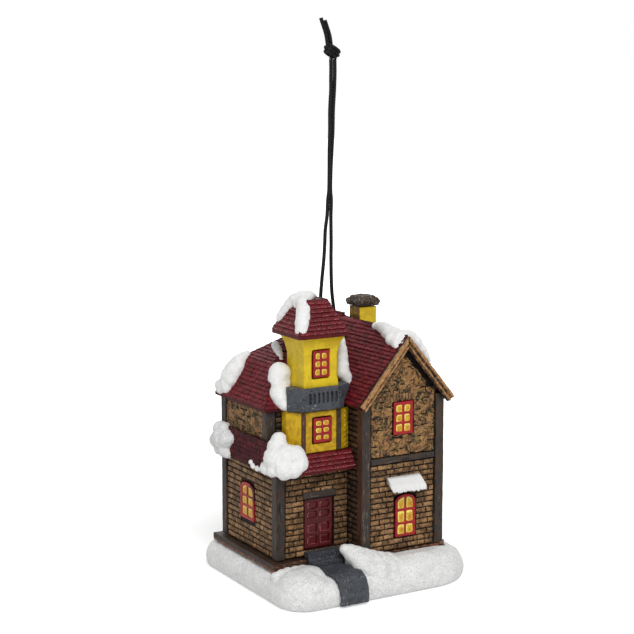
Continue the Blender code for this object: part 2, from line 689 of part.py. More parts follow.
def make_path(finishes):
    """Slate path over the base, and the steps up to the door."""
    path = prism("stone_path", [path_outline()], 0.6 * MM, BASE_HEIGHT + 3.0 * MM, finishes["slate"])
    combine(path, cutter(base_form("path_outer", None, GAP + PATH_THICKNESS)), "INTERSECT")
    combine(path, cutter(base_form("path_inner", None, GAP)))
    ledge = MAIN_FRONT - PLINTH_STEP
    step_front = ledge - GAP - STEP_REACH
    step_top = BASE_HEIGHT + GAP + STEP_HEIGHT
    nose = ledge - GAP - 0.4 * MM
    wall = BRICK_FRONT - GAP
    prism(
        "door_steps",
        [[(step_front, PLINTH_FOOT), (ledge - GAP, PLINTH_FOOT), (ledge - GAP, WALL_FOOT), (wall, WALL_FOOT),
          (wall, SILL_TOP), (nose, SILL_TOP), (nose, step_top), (step_front, step_top)]],
        ENTRANCE_X - STEP_WIDTH / 2, ENTRANCE_X + STEP_WIDTH / 2, finishes["slate"], "X")


def make_plinth(finishes):
    """The stone ledge that the walls stand on, with a hole for the lamp."""
    radius = LED_DIAMETER / 2 + 2 * GAP
    lamp_hole = [(radius * cos(2 * pi * i / 20), radius * sin(2 * pi * i / 20)) for i in range(20)]
    prism("plinth", [plinth_outline(), lamp_hole], PLINTH_FOOT, PLINTH_TOP, finishes["plinth"])


def wing_surface(x, y):
    """Height of the wing roof's outer face, whose ridge climbs towards the back."""
    run = WING_WIDTH / 2 + WING_OVERHANG
    share = 1 - abs(x - WING_X) / run
    tip = EAVE + WING_EAVE_LIFT
    start = WING_FRONT - WING_OVERHANG / 2
    climb = WING_RIDGE_CLIMB * (y - start) / (BACK - start)
    return tip + (EAVE + WING_RIDGE + climb - tip) * share


def wing_slope(y):
    """Rise per unit run of the wing roof at one depth."""
    run = WING_WIDTH / 2 + WING_OVERHANG
    return (wing_surface(WING_X, y) - wing_surface(WING_X + run, y)) / run


def wing_underside(x, y):
    """Height of the wing roof's inner face."""
    return wing_surface(x, y) - WING_ROOF_THICKNESS * sqrt(1 + wing_slope(y) ** 2)


def gable_outline(left, right, foot, y, main_top=None):
    """Outline of a gable wall under the wing roof, with any lower part of the main block on its left."""
    clear = GAP * sqrt(1 + wing_slope(y) ** 2)
    top = wing_underside(WING_X, y) - clear
    shoulder = [(left, wing_underside(left, y) - clear)]
    if main_top:
        shoulder = [(WING_X - (top - main_top) / wing_slope(y), main_top), (left, main_top)]
    return [(left, foot), (right, foot), (right, wing_underside(right, y) - clear), (WING_X, top)] + shoulder


def make_walls(finishes):
    """Brick panels between the posts, with their windows."""
    brick = finishes["brick"]
    frame = finishes["frame"]
    post_front = MAIN_FRONT + POST + GAP
    side_y = (MAIN_FRONT + BACK) / 2 + SIDE_ASIDE
    side_sill = WALL_FOOT + SIDE_SILL
    prism(
        "lower_left_wall",
        [rectangle(post_front, WALL_FOOT, INNER_BACK, LOWER_TOP),
         shifted(window_outline(SIDE_WINDOW, ARCH_RISE), side_y, side_sill)],
        BRICK_LEFT, BRICK_LEFT + WALL, brick, "X")
    make_window("left_window", SIDE_WINDOW, ARCH_RISE, BRICK_LEFT, side_y, side_sill, "left", frame)
    prism(
        "upper_left_wall", [rectangle(UPPER_FRONT + POST + GAP, UPPER_FOOT, INNER_BACK, UPPER_TOP)],
        BRICK_LEFT, BRICK_LEFT + WALL, brick, "X")
    half_door = DOOR_WIDTH / 2 + GAP
    door_wall = prism(
        "door_wall",
        [rectangle(INNER_LEFT, WALL_FOOT, WING_SIDE - GAP, LOWER_TOP),
         rectangle(ENTRANCE_X - half_door, SILL_TOP, ENTRANCE_X + half_door, LINTEL_FOOT)],
        BRICK_FRONT, BRICK_FRONT + WALL, brick, "Y")
    lintel = box(
        "door_lintel", (ENTRANCE_X - half_door, MAIN_FRONT, LINTEL_FOOT),
        (ENTRANCE_X + half_door, BRICK_FRONT + GAP, LINTEL_FOOT + LINTEL_HEIGHT), None)
    combine(door_wall, cutter(lintel), "UNION")
    prism(
        "upper_front_wall",
        [rectangle(INNER_LEFT, UPPER_FOOT, WING_SIDE - GAP, UPPER_TOP),
         rectangle(ENTRANCE_X - BAY_WIDTH / 2, BAY_FOOT, ENTRANCE_X + BAY_WIDTH / 2, BAY_TOP - BAY_CHAMFER)],
        BRICK_UPPER, BRICK_UPPER + WALL, brick, "Y")
    wing_post_back = WING_FRONT + POST + GAP
    prism(
        "wing_return_wall",
        [rectangle(
            wing_post_back, WALL_FOOT, BRICK_UPPER + WALL, wing_underside(WING_SIDE, WING_FRONT) - 2 * GAP)],
        WING_SIDE, WING_SIDE + WALL, brick, "X")
    inner_left = WING_LEFT + POST + GAP
    front_x = WING_X + FRONT_ASIDE
    prism(
        "wing_lower_wall",
        [rectangle(inner_left, WALL_FOOT, INNER_RIGHT, BEAM_FOOT - GAP),
         shifted(window_outline(FRONT_WINDOW, ARCH_RISE), front_x, WALL_FOOT + FRONT_SILL)],
        BRICK_WING, BRICK_WING + WALL, brick, "Y")
    make_window(
        "wing_lower_window", FRONT_WINDOW, ARCH_RISE, front_x, BRICK_WING, WALL_FOOT + FRONT_SILL, "front",
        frame)
    gable_foot = BEAM_TOP + GAP
    prism(
        "wing_gable_wall",
        [gable_outline(inner_left, INNER_RIGHT, gable_foot, WING_FRONT),
         shifted(window_outline(GABLE_WINDOW, 0), WING_X, gable_foot + GABLE_SILL)],
        BRICK_WING, BRICK_WING + WALL, brick, "Y")
    make_window(
        "wing_gable_window", GABLE_WINDOW, 0, WING_X, BRICK_WING, gable_foot + GABLE_SILL, "front", frame)
    prism(
        "right_wall",
        [rectangle(wing_post_back, WALL_FOOT, INNER_BACK, wing_underside(BRICK_RIGHT, WING_FRONT) - 2 * GAP)],
        BRICK_RIGHT - WALL, BRICK_RIGHT, brick, "X")
    prism(
        "back_wall", [gable_outline(INNER_LEFT, INNER_RIGHT, WALL_FOOT, BACK, UPPER_TOP)],
        BRICK_BACK - WALL, BRICK_BACK, brick, "Y")


def make_timber(finishes):
    """Corner posts, and the beam between the wing's storeys."""
    timber = finishes["timber"]
    wing_top = wing_underside(WING_LEFT, WING_FRONT) - 2 * GAP
    posts = {
        "front_left_post": (LEFT, MAIN_FRONT, WALL_FOOT, LOWER_TOP),
        "back_left_post": (LEFT, BACK - POST, WALL_FOOT, UPPER_TOP),
        "upper_left_post": (LEFT, UPPER_FRONT, UPPER_FOOT, UPPER_TOP),
        "wing_left_post": (WING_LEFT, WING_FRONT, WALL_FOOT, wing_top),
        "wing_right_post": (RIGHT - POST, WING_FRONT, WALL_FOOT, wing_top),
        "back_right_post": (RIGHT - POST, BACK - POST, WALL_FOOT, wing_top),
    }
    for name, (x, y, low, high) in posts.items():
        box(name, (x, y, low), (x + POST, y + POST, high), timber)
    box(
        "wing_beam", (WING_LEFT + POST + GAP, WING_FRONT, BEAM_FOOT),
        (INNER_RIGHT, BRICK_WING + WALL, BEAM_TOP), timber)


def make_entrance(finishes):
    """Front door."""
    left = ENTRANCE_X - DOOR_WIDTH / 2
    right = ENTRANCE_X + DOOR_WIDTH / 2
    box(
        "front_door", (left, BRICK_FRONT + PROUD, DOOR_FOOT),
        (right, BRICK_FRONT + PROUD + DOOR_THICKNESS, DOOR_FOOT + DOOR_HEIGHT), finishes["door"])


def skirt_section(grow=0.0):
    """Section of the front skirt roof, depth against height."""
    front = MAIN_FRONT - SKIRT_REACH - grow
    back = UPPER_FRONT - GAP + grow
    return [
        (front, UPPER_FOOT - grow), (back, UPPER_FOOT - grow), (back, SKIRT_TOP + grow),
        (MAIN_FRONT - BAY_REACH - grow, SKIRT_TOP + grow), (front, UPPER_FOOT + SKIRT_LIP + grow)]


def side_skirt_corners(grow=0.0):
    """Corners of the thin side skirt roof, which leans on the left wall."""
    outer = LEFT - SIDE_SKIRT_REACH - grow
    inner = LEFT - GAP + (0.0 if grow == 0 else MM)
    front = MAIN_FRONT - SKIRT_REACH - grow
    back = BACK + grow
    low = UPPER_FOOT - grow
    lip = UPPER_FOOT + SKIRT_LIP + grow
    crown = UPPER_FOOT + SIDE_SKIRT_HEIGHT + grow
    lean = (SKIRT_REACH - BAY_REACH) / (SKIRT_HEIGHT - SKIRT_LIP)
    crown_front = front + lean * (SIDE_SKIRT_HEIGHT - SKIRT_LIP)
    brim = LEFT - 2 * GAP - grow
    return [
        (outer, front, low), (inner, front, low), (outer, back, low), (inner, back, low), (outer, front, lip),
        (inner, front, lip), (outer, back, lip), (brim, crown_front, crown), (inner, crown_front, crown),
        (brim, back, crown), (inner, back, crown)]


def make_skirt(finishes):
    """The shingled skirt roof between the storeys: a block in front and a wedge on the left side."""
    prism("skirt_roof_front", [skirt_section()], LEFT, WING_SIDE - GAP, finishes["shingle"], "X")
    hull("skirt_roof_left", side_skirt_corners(), finishes["shingle"])


def bay_corners(grow=0.0):
    """Plan of the bay's outer face from its left root round to the wing, moved outwards by a distance."""
    front = MAIN_FRONT - BAY_REACH
    left = ENTRANCE_X - BAY_WIDTH / 2
    right = ENTRANCE_X + BAY_WIDTH / 2
    lean = grow * (sqrt(2) - 1)
    wing = WING_SIDE - GAP
    return [
        (left - BAY_CHAMFER - grow, UPPER_FRONT - GAP), (left - BAY_CHAMFER - grow, front + BAY_CHAMFER - lean),
        (left - lean, front - grow), (right, front - grow), (wing, front - grow + 0.4 * (wing - right))]


def make_bay(finishes):
    """The yellow bay over the door, open at the back, with its window."""
    sill = BAY_FOOT + BAY_SILL
    bay = prism(
        "bay", [bay_corners() + list(reversed(bay_corners(-BAY_WALL)))], BAY_FOOT, BAY_TOP,
        finishes["yellow"])
    front = MAIN_FRONT - BAY_REACH
    opening = prism(
        "bay_opening", [shifted(window_outline(BAY_WINDOW, 0), ENTRANCE_X, sill)],
        front - MM, front + 2 * BAY_WALL,
        None, "Y")
    combine(bay, cutter(opening))
    make_window("bay_window", BAY_WINDOW, 0, ENTRANCE_X, front, sill, "front", finishes["frame"])


def balcony_outline(grow=0.0):
    """Plan of the balcony, moved outwards by a distance."""
    front = MAIN_FRONT - BAY_REACH - BALCONY_PROUD
    left = ENTRANCE_X - BAY_WIDTH / 2 - BALCONY_PROUD + 0.2 * MM
    right = ENTRANCE_X + BAY_WIDTH / 2 - 0.9 * MM
    wing = WING_SIDE - GAP
    back = front + BALCONY_DEPTH
    turn = left - BAY_CHAMFER + 0.6 * MM
    return [
        (turn + 0.8 * MM - grow, back + grow), (turn - grow, front + BAY_CHAMFER),
        (left - 0.4 * grow, front - grow),
        (right, front - grow), (wing, front - grow + 0.45 * (wing - right)), (wing, back + grow)]


def make_balcony(finishes):
    """Slate balcony: a thick rail round a floor, with a pocket for the tower and a hole for its light."""
    top = BALCONY_FOOT + BALCONY_FLOOR + BALCONY_RAIL
    balcony = prism("balcony", [balcony_outline()], BALCONY_FOOT, top, finishes["slate"])
    left, front, right, rear = tower_box(GAP + TOWER_FOOT_FLARE)
    pocket = box("balcony_pocket", (left, front, BALCONY_FOOT + BALCONY_FLOOR), (right, rear, top + MM), None)
    combine(balcony, cutter(pocket))
    left, front, right, rear = tower_box(-TOWER_WALL)
    shaft = box("balcony_shaft", (left, front, BALCONY_FOOT - MM), (right, rear, TOWER_FOOT + MM), None)
    combine(balcony, cutter(shaft))
    combine(balcony, cutter(wing_roof_form("balcony_room", GAP)))


def tower_box(grow=0.0):
    """Plan of the tower: left, front, right and back."""
    front = MAIN_FRONT - TOWER_SET
    left = ENTRANCE_X - TOWER_WIDTH / 2
    return left - grow, front - grow, left + TOWER_WIDTH + grow, front + TOWER_DEPTH + grow


def tower_ring(z, grow):
    """One level of the tower's outer skin."""
    left, front, right, back = tower_box(grow)
    return [(left, front, z), (right, front, z), (right, back, z), (left, back, z)]


def make_tower(finishes):
    """Yellow tower that spreads at its head, with its own pointed roof."""
    profile = (
        (0.0, TOWER_FOOT_FLARE), (0.3, TOWER_FOOT_FLARE), (0.42, 0.0), (0.74, 0.0),
        (0.86, 0.27 * TOWER_FLARE),
        (0.94, 0.6 * TOWER_FLARE), (1.0, TOWER_FLARE))
    tower = loft(
        "tower", [tower_ring(TOWER_FOOT + share * TOWER_HEIGHT, flare) for share, flare in profile],
        finishes["yellow"])
    left, front, right, back = tower_box(-TOWER_WALL)
    shaft = box("tower_shaft", (left, front, TOWER_FOOT - MM), (right, back, TOWER_TOP + MM), None)
    combine(tower, cutter(shaft))
    sill = TOWER_FOOT + TOWER_SILL
    face = MAIN_FRONT - TOWER_SET
    opening = prism(
        "tower_opening", [shifted(window_outline(TOWER_WINDOW, 0), ENTRANCE_X, sill)], face - 2 * MM,
        face + TOWER_WALL + MM, None, "Y")
    combine(tower, cutter(opening))
    make_window("tower_window", TOWER_WINDOW, 0, ENTRANCE_X, face, sill, "front", finishes["frame"])
    hull("tower_roof", tower_roof_corners(), finishes["shingle"])


def tower_roof_corners(grow=0.0):
    """Corners of the tower's steep, flat-topped roof, or of the room that snow must leave for it."""
    left, front, right, back = tower_box(TOWER_EAVE + grow)
    left -= TOWER_ROOF_ASIDE
    right -= TOWER_ROOF_ASIDE
    foot = TOWER_TOP + GAP - grow
    lip = TOWER_TOP + GAP + TOWER_EAVE_THICKNESS + 0.4 * grow
    top = TOWER_TOP + GAP + TOWER_EAVE_THICKNESS + TOWER_ROOF_HEIGHT + grow
    corners = [(x, y, z) for x in (left, right) for y in (front, back) for z in (foot, lip)]
    middle_x = (left + right) / 2
    middle_y = (front + back) / 2
    half_x = TOWER_ROOF_TOP[0] / 2 + 0.7 * grow
    half_y = TOWER_ROOF_TOP[1] / 2 + 0.7 * grow
    return corners + [
        (x, y, top) for x in (middle_x - half_x, middle_x + half_x)
        for y in (middle_y - half_y, middle_y + half_y)]


def main_ridge():
    """Height and depth of the main roof's ridge."""
    return EAVE + ROOF_LIP + ROOF_FOOT_RISE + ROOF_TOP_RISE, (UPPER_FRONT + BACK) / 2


def roof_corners(grow=0.0):
    """Corners of the main roof, steep at its foot and flatter above, or of the room round it."""
    left = LEFT - ROOF_OVERHANG - grow
    front = UPPER_FRONT - ROOF_OVERHANG - grow
    back = BACK + ROOF_OVERHANG + grow
    right = WING_X
    foot = EAVE - grow
    lip = EAVE + ROOF_LIP + 0.5 * grow
    knee = EAVE + ROOF_LIP + ROOF_FOOT_RISE + grow
    ridge = knee + ROOF_TOP_RISE
    run = ROOF_FOOT_RUN
    depth = (back - front) / 2
    corners = []
    for x_in, y_in, levels in ((0.0, 0.0, (foot, lip)), (run, run, (knee,)), (depth, depth, (ridge,))):
        for level in levels:
            corners += [
                (left + x_in, front + y_in, level), (left + x_in, back - y_in, level),
                (right, front + y_in, level), (right, back - y_in, level)]
    return corners


def hollow_corners():
    """Corners of the hollow under the main roof."""
    draw_in = ROOF_OVERHANG + PROUD + WALL + GAP
    left = LEFT - ROOF_OVERHANG + draw_in
    front = UPPER_FRONT - ROOF_OVERHANG + draw_in
    back = BACK + ROOF_OVERHANG - draw_in
    run = ROOF_FOOT_RUN - draw_in + 1.2 * ROOF_SHELL
    knee = EAVE + ROOF_LIP + ROOF_FOOT_RISE - ROOF_SHELL
    depth = (back - front) / 2
    corners = []
    for x_in, level in ((0.0, EAVE - MM), (0.0, EAVE), (run, knee), (depth, knee + ROOF_TOP_RISE)):
        corners += [
            (left + x_in, front + x_in, level), (left + x_in, back - x_in, level),
            (WING_X + MM, front + x_in, level), (WING_X + MM, back - x_in, level)]
    return corners


def make_main_roof(finishes):
    """Hipped roof over the main block, open below, that dies into the wing's roof."""
    roof = hull("main_roof", roof_corners(), finishes["shingle"])
    combine(roof, cutter(hull("roof_hollow", hollow_corners(), None)))
    combine(roof, cutter(wing_roof_form("wing_room", GAP)))
    left, front, right, back = tower_box(GAP + TOWER_FOOT_FLARE)
    tower_room = box("tower_room", (left, front, EAVE - MM), (right, back, TOWER_TOP), None)
    combine(roof, cutter(tower_room))
    ridge, depth = main_ridge()
    stem_hole = cylinder(
        "stem_hole", (EYE_X, depth), EYE_WIRE + 2 * GAP, ridge - EYE_STEM - GAP, ridge + MM, None, 12)
    combine(roof, cutter(stem_hole))


def wing_roof_form(name, grow):
    """The wing, its roof and its barge boards as one solid, moved outwards."""
    run = WING_WIDTH / 2 + WING_OVERHANG
    front = WING_FRONT - WING_OVERHANG / 2 - GAP - BARGE_THICKNESS - grow
    back = BACK + WING_OVERHANG / 2 + GAP + BARGE_THICKNESS + grow
    corners = []
    for y in (front, back):
        clear = (grow + GAP) * sqrt(1 + wing_slope(y) ** 2)
        for x in (WING_X - run - grow, WING_X + run + grow):
            corners += [(x, y, EAVE - 4 * MM), (x, y, wing_surface(x, y) + clear)]
        corners.append((WING_X, y, wing_surface(WING_X, y) + clear))
    return hull(name, corners, None)


def make_wing_roof(finishes):
    """Two slopes of the wing's roof, and the barge boards on its front gable."""
    run = WING_WIDTH / 2 + WING_OVERHANG
    start = WING_FRONT - WING_OVERHANG / 2
    end = BACK + WING_OVERHANG / 2
    for side, label in ((-1, "left"), (1, "right")):
        top_x = WING_X + side * GAP / 2
        tip_x = WING_X + side * run
        corners = []
        for y in (start, end):
            slope = wing_slope(y)
            lean = WING_ROOF_THICKNESS / sqrt(1 + slope ** 2)
            corners += [
                (top_x, y, wing_surface(top_x, y)), (top_x, y, wing_underside(top_x, y)),
                (tip_x, y, wing_surface(tip_x, y)),
                (tip_x - side * lean * slope, y, wing_surface(tip_x, y) - lean)]
        hull("wing_roof_" + label, corners, finishes["shingle"])
        slope = wing_slope(start)
        square = sqrt(1 + slope ** 2)
        top = wing_surface(top_x, start) + GAP
        tip = wing_surface(tip_x, start) + GAP
        foot = (tip_x - side * BARGE_WIDTH * slope / square, tip - BARGE_WIDTH / square)
        prism(
            "barge_board_" + label, [[(top_x, top), (top_x, top - BARGE_WIDTH * square), foot, (tip_x, tip)]],
            start - GAP - BARGE_THICKNESS, start - GAP, finishes["barge"], "Y")


def make_chimney(finishes):
    """Chimney on the far slope of the wing's roof, and its stone cap."""
    left = WING_X + CHIMNEY_FROM_RIDGE
    right = left + CHIMNEY_WIDTH
    back = BACK - CHIMNEY_FROM_BACK
    front = back - CHIMNEY_WIDTH
    top = wing_surface(WING_X, front) + CHIMNEY_HEIGHT
    corners = []
    for x in (left, right):
        for y in (front, back):
            clear = GAP * sqrt(1 + wing_slope(y) ** 2)
            corners += [(x, y, wing_surface(x, y) + clear), (x, y, top)]
    hull("chimney", corners, finishes["yellow"])
    cap = []
    for level, inset in ((0.0, 0.4), (0.35, 0.0), (0.55, 0.0), (1.0, 1.6)):
        reach = CAP_REACH * (1 - inset)
        z = top + GAP + level * CAP_HEIGHT
        cap += [(x, y, z) for x in (left - reach, right + reach) for y in (front - reach, back + reach)]
    hull("chimney_cap", cap, finishes["cap"])


def make_awning(finishes):
    """Small snow-white pent roof over the lower front window."""
    foot = WALL_FOOT + FRONT_SILL + FRONT_WINDOW[1] + AWNING_ABOVE
    wall = BRICK_WING - GAP
    out = wall - AWNING_REACH
    prism(
        "awning", [[(wall, foot + AWNING_DROP), (out, foot), (out, foot + AWNING_THICKNESS),
                    (wall, foot + AWNING_DROP + AWNING_THICKNESS)]],
        WING_X - AWNING_WIDTH / 2, WING_X + AWNING_WIDTH / 2, finishes["snow"], "X")


def room(name, low, high):
    """A hidden block that keeps snow clear of a part of the house."""
    room = Vector((GAP, GAP, GAP))
    return cutter(box(name, Vector(low) - room, Vector(high) + room, None))


def aim(direction):
    """A turn that lays a lump's long X side along a direction."""
    return Vector(direction).to_track_quat("X", "Z").to_matrix().to_4x4()


def heap(corner, lumps):
    """Round lumps beside a corner; each is its place and then its radius."""
    return [(beside(corner, (x, y, z)), (radius, radius, radius), None) for x, y, z, radius in lumps]


def snow_piece(name, lumps, rooms, finish):
    """Snow made of one or more joined lumps, cut clear of everything in its rooms.

    Each lump is its centre, its radii and the direction of its long side, if it has one.
    """
    piece = None
    for i, (centre, radii, direction) in enumerate(lumps):
        turn = aim(direction) if direction else None
        if i == 0:
            piece = lump(name, centre, radii, finish, turn, level=3 if len(lumps) == 1 else 2)
        else:
            part = lump("%s_lump_%d" % (name, i), centre, radii, None, turn, level=2)
            combine(piece, cutter(part), "UNION")
    for tool in rooms:
        combine(piece, tool)


def make_snow(finishes):
    """Lumps of snow that lie on the roofs, each cut to what it rests on."""
    lower = room(
        "lower_room", (LEFT - SIDE_SKIRT_REACH - GAP, MAIN_FRONT - SKIRT_REACH, PLINTH_TOP),
        (RIGHT, BACK, UPPER_FOOT + GAP))
    upper = room("upper_room", (LEFT, UPPER_FRONT, UPPER_FOOT - MM), (RIGHT, BACK, EAVE))
    skirt_front = cutter(prism("skirt_front_room", [skirt_section(GAP)], LEFT - GAP, WING_SIDE, None, "X"))
    skirt_left = cutter(hull("skirt_left_room", side_skirt_corners(1.3 * GAP), None))
    plan = bay_corners(GAP)
    bay_plan = plan + [(plan[-1][0], UPPER_FRONT + MM), (plan[0][0], UPPER_FRONT + MM)]
    bay_room = cutter(prism("bay_room", [bay_plan], BAY_FOOT - MM, BAY_TOP + GAP, None))
    balcony_room = cutter(prism(
        "balcony_snow_room", [balcony_outline(GAP)], BALCONY_FOOT - MM,
        BALCONY_FOOT + BALCONY_FLOOR + BALCONY_RAIL + GAP, None))
    tower_shell = cutter(loft("tower_snow_room", [
        tower_ring(TOWER_FOOT - MM, GAP + TOWER_FOOT_FLARE),
        tower_ring(TOWER_FOOT + 0.74 * TOWER_HEIGHT, GAP + TOWER_FOOT_FLARE),
        tower_ring(TOWER_TOP + GAP, 1.3 * GAP + TOWER_FLARE)], None))
    tower_head = cutter(hull("tower_roof_room", tower_roof_corners(GAP), None))
    roof_room = cutter(hull("main_roof_room", roof_corners(GAP), None))
    wing_room = cutter(wing_roof_form("wing_snow_room", GAP))
    snow = finishes["snow"]
    snow_piece(
        "skirt_snow_front",
        heap((LEFT, MAIN_FRONT, UPPER_FOOT), SKIRT_FRONT_LUMPS),
        (lower, upper, skirt_front, skirt_left, bay_room), snow)
    snow_piece(
        "skirt_snow_back", ((beside((LEFT, BACK, UPPER_FOOT), SKIRT_BACK_AT), SKIRT_BACK_SNOW, None),),
        (lower, upper, skirt_left), snow)
    snow_piece(
        "roof_corner_snow", ((beside((LEFT, BACK, EAVE), CORNER_AT), CORNER_SNOW, (1.0, -1.0, 1.45)),),
        (roof_room, upper), snow)
    left, front, right, back = tower_box(0.0)
    snow_piece(
        "tower_left_snow", heap((left, UPPER_FRONT, EAVE), TOWER_LEFT_LUMPS),
        (roof_room, tower_shell, balcony_room, bay_room, upper), snow)
    snow_piece(
        "tower_right_snow",
        ((beside((right, front, EAVE), TOWER_HIGH_AT), TOWER_HIGH_SNOW, None),
         (beside((right, front, EAVE), TOWER_LOW_AT), TOWER_LOW_SNOW, None)),
        (roof_room, wing_room, tower_shell, tower_head, balcony_room, upper), snow)
    top = TOWER_TOP + GAP + TOWER_EAVE_THICKNESS + TOWER_ROOF_HEIGHT
    crown = ((left + right) / 2 - TOWER_ROOF_ASIDE, (front + back) / 2, top)
    hip = (
        TOWER_WIDTH / 2 + TOWER_EAVE - TOWER_ROOF_TOP[0] / 2,
        TOWER_DEPTH / 2 + TOWER_EAVE - TOWER_ROOF_TOP[1] / 2)
    snow_piece(
        "tower_roof_snow",
        ((beside(crown, CROWN_AT), CROWN_SNOW, None),
         (beside(crown, BACK_HIP_AT), BACK_HIP_SNOW, (hip[0], -hip[1], TOWER_ROOF_HEIGHT)),
         (beside(crown, FRONT_HIP_AT), FRONT_HIP_SNOW, (hip[0], hip[1], TOWER_ROOF_HEIGHT))),
        (tower_head, tower_shell), snow)
    slope = wing_slope(WING_FRONT)
    crest = (WING_X, WING_FRONT, wing_surface(WING_X, WING_FRONT))
    snow_piece(
        "wing_ridge_snow",
        ((beside(crest, RIDGE_AT), RIDGE_SNOW, (0.08, 1.0, 0.05)),
         (beside(crest, SLOPE_AT), SLOPE_SNOW, (1.0, 0.0, -slope))),
        (wing_room,), snow)


def make_eye(finishes):
    """Screw eye in the ridge of the main roof; returns the middle of its ring."""
    ridge, depth = main_ridge()
    radius = (EYE_RING - EYE_WIRE) / 2
    centre = Vector((EYE_X, depth, ridge + GAP + EYE_RING / 2))
    turns = 20
    sides = 8
    mesh_edit = bmesh.new()
    rows = []
    for i in range(turns):
        angle = 2 * pi * i / turns
        outward = Vector((0, sin(angle), -cos(angle)))
        row = []
        for k in range(sides):
            turn = 2 * pi * k / sides
            across = Vector((EYE_WIRE / 2 * sin(turn), 0, 0))
            row.append(mesh_edit.verts.new(centre + outward * (radius + EYE_WIRE / 2 * cos(turn)) + across))
        rows.append(row)
    for i, row in enumerate(rows):
        following = rows[(i + 1) % turns]
        for k in range(sides):
            mesh_edit.faces.new((row[k], row[(k + 1) % sides], following[(k + 1) % sides], following[k]))
    eye = from_bmesh("hanging_eye", mesh_edit, finishes["steel"], smooth=True)
    stem = cylinder(
        "eye_stem", (EYE_X, depth), EYE_WIRE * 0.96, ridge - EYE_STEM, centre.z - radius, None, 10)
    combine(eye, cutter(stem), "UNION")
    return centre


def make_cord(centre, finishes):
    """The two strands of the loop, from the eye up to the knot that ties them, and its tails."""
    start = GAP
    for name, side, course, top in (
            ("hanging_cord_left", -1, LEFT_STRAND, (1.14, 0.12)),
            ("hanging_cord_right", 1, RIGHT_STRAND, (2.18, -0.12))):
        route = [Vector((side * start, 0, 0)), Vector((side * 0.9 * MM, 0, 0.22 * MM)),
                 Vector((side * 1.75 * MM, 0, 0.85 * MM)), Vector((side * 2.3 * MM, 0, 2.4 * MM))]
        route += [Vector(place) * MM for place in course]
        route.append(Vector((top[0] * MM, top[1] * MM, KNOT_FOOT)))
        points = smooth_route([centre + point for point in route], 2.4 * CORD_THICKNESS)
        tube(name, points, CORD_THICKNESS, finishes["cord"])
    middle = centre + Vector((1.4 * MM, 0, KNOT_RISE))
    knot = lump("cord_knot", middle, [side / 2 for side in KNOT_SIZE], finishes["cord"], level=2)
    for name, across, lean, length in (
            ("tail_left", -1.15 * MM, -2.3 * MM, TAIL_LENGTH),
            ("tail_right", -0.1 * MM, -2.12 * MM, 0.93 * TAIL_LENGTH)):
        foot = middle + Vector((across, 0, 0.3 * MM))
        end = foot + Vector((lean, 0, length))
        points = smooth_route([foot, (foot + end) / 2 + Vector((0.4 * MM, 0, 0)), end], CORD_THICKNESS)
        combine(knot, cutter(solid_tube(name, points, CORD_THICKNESS, None)), "UNION")


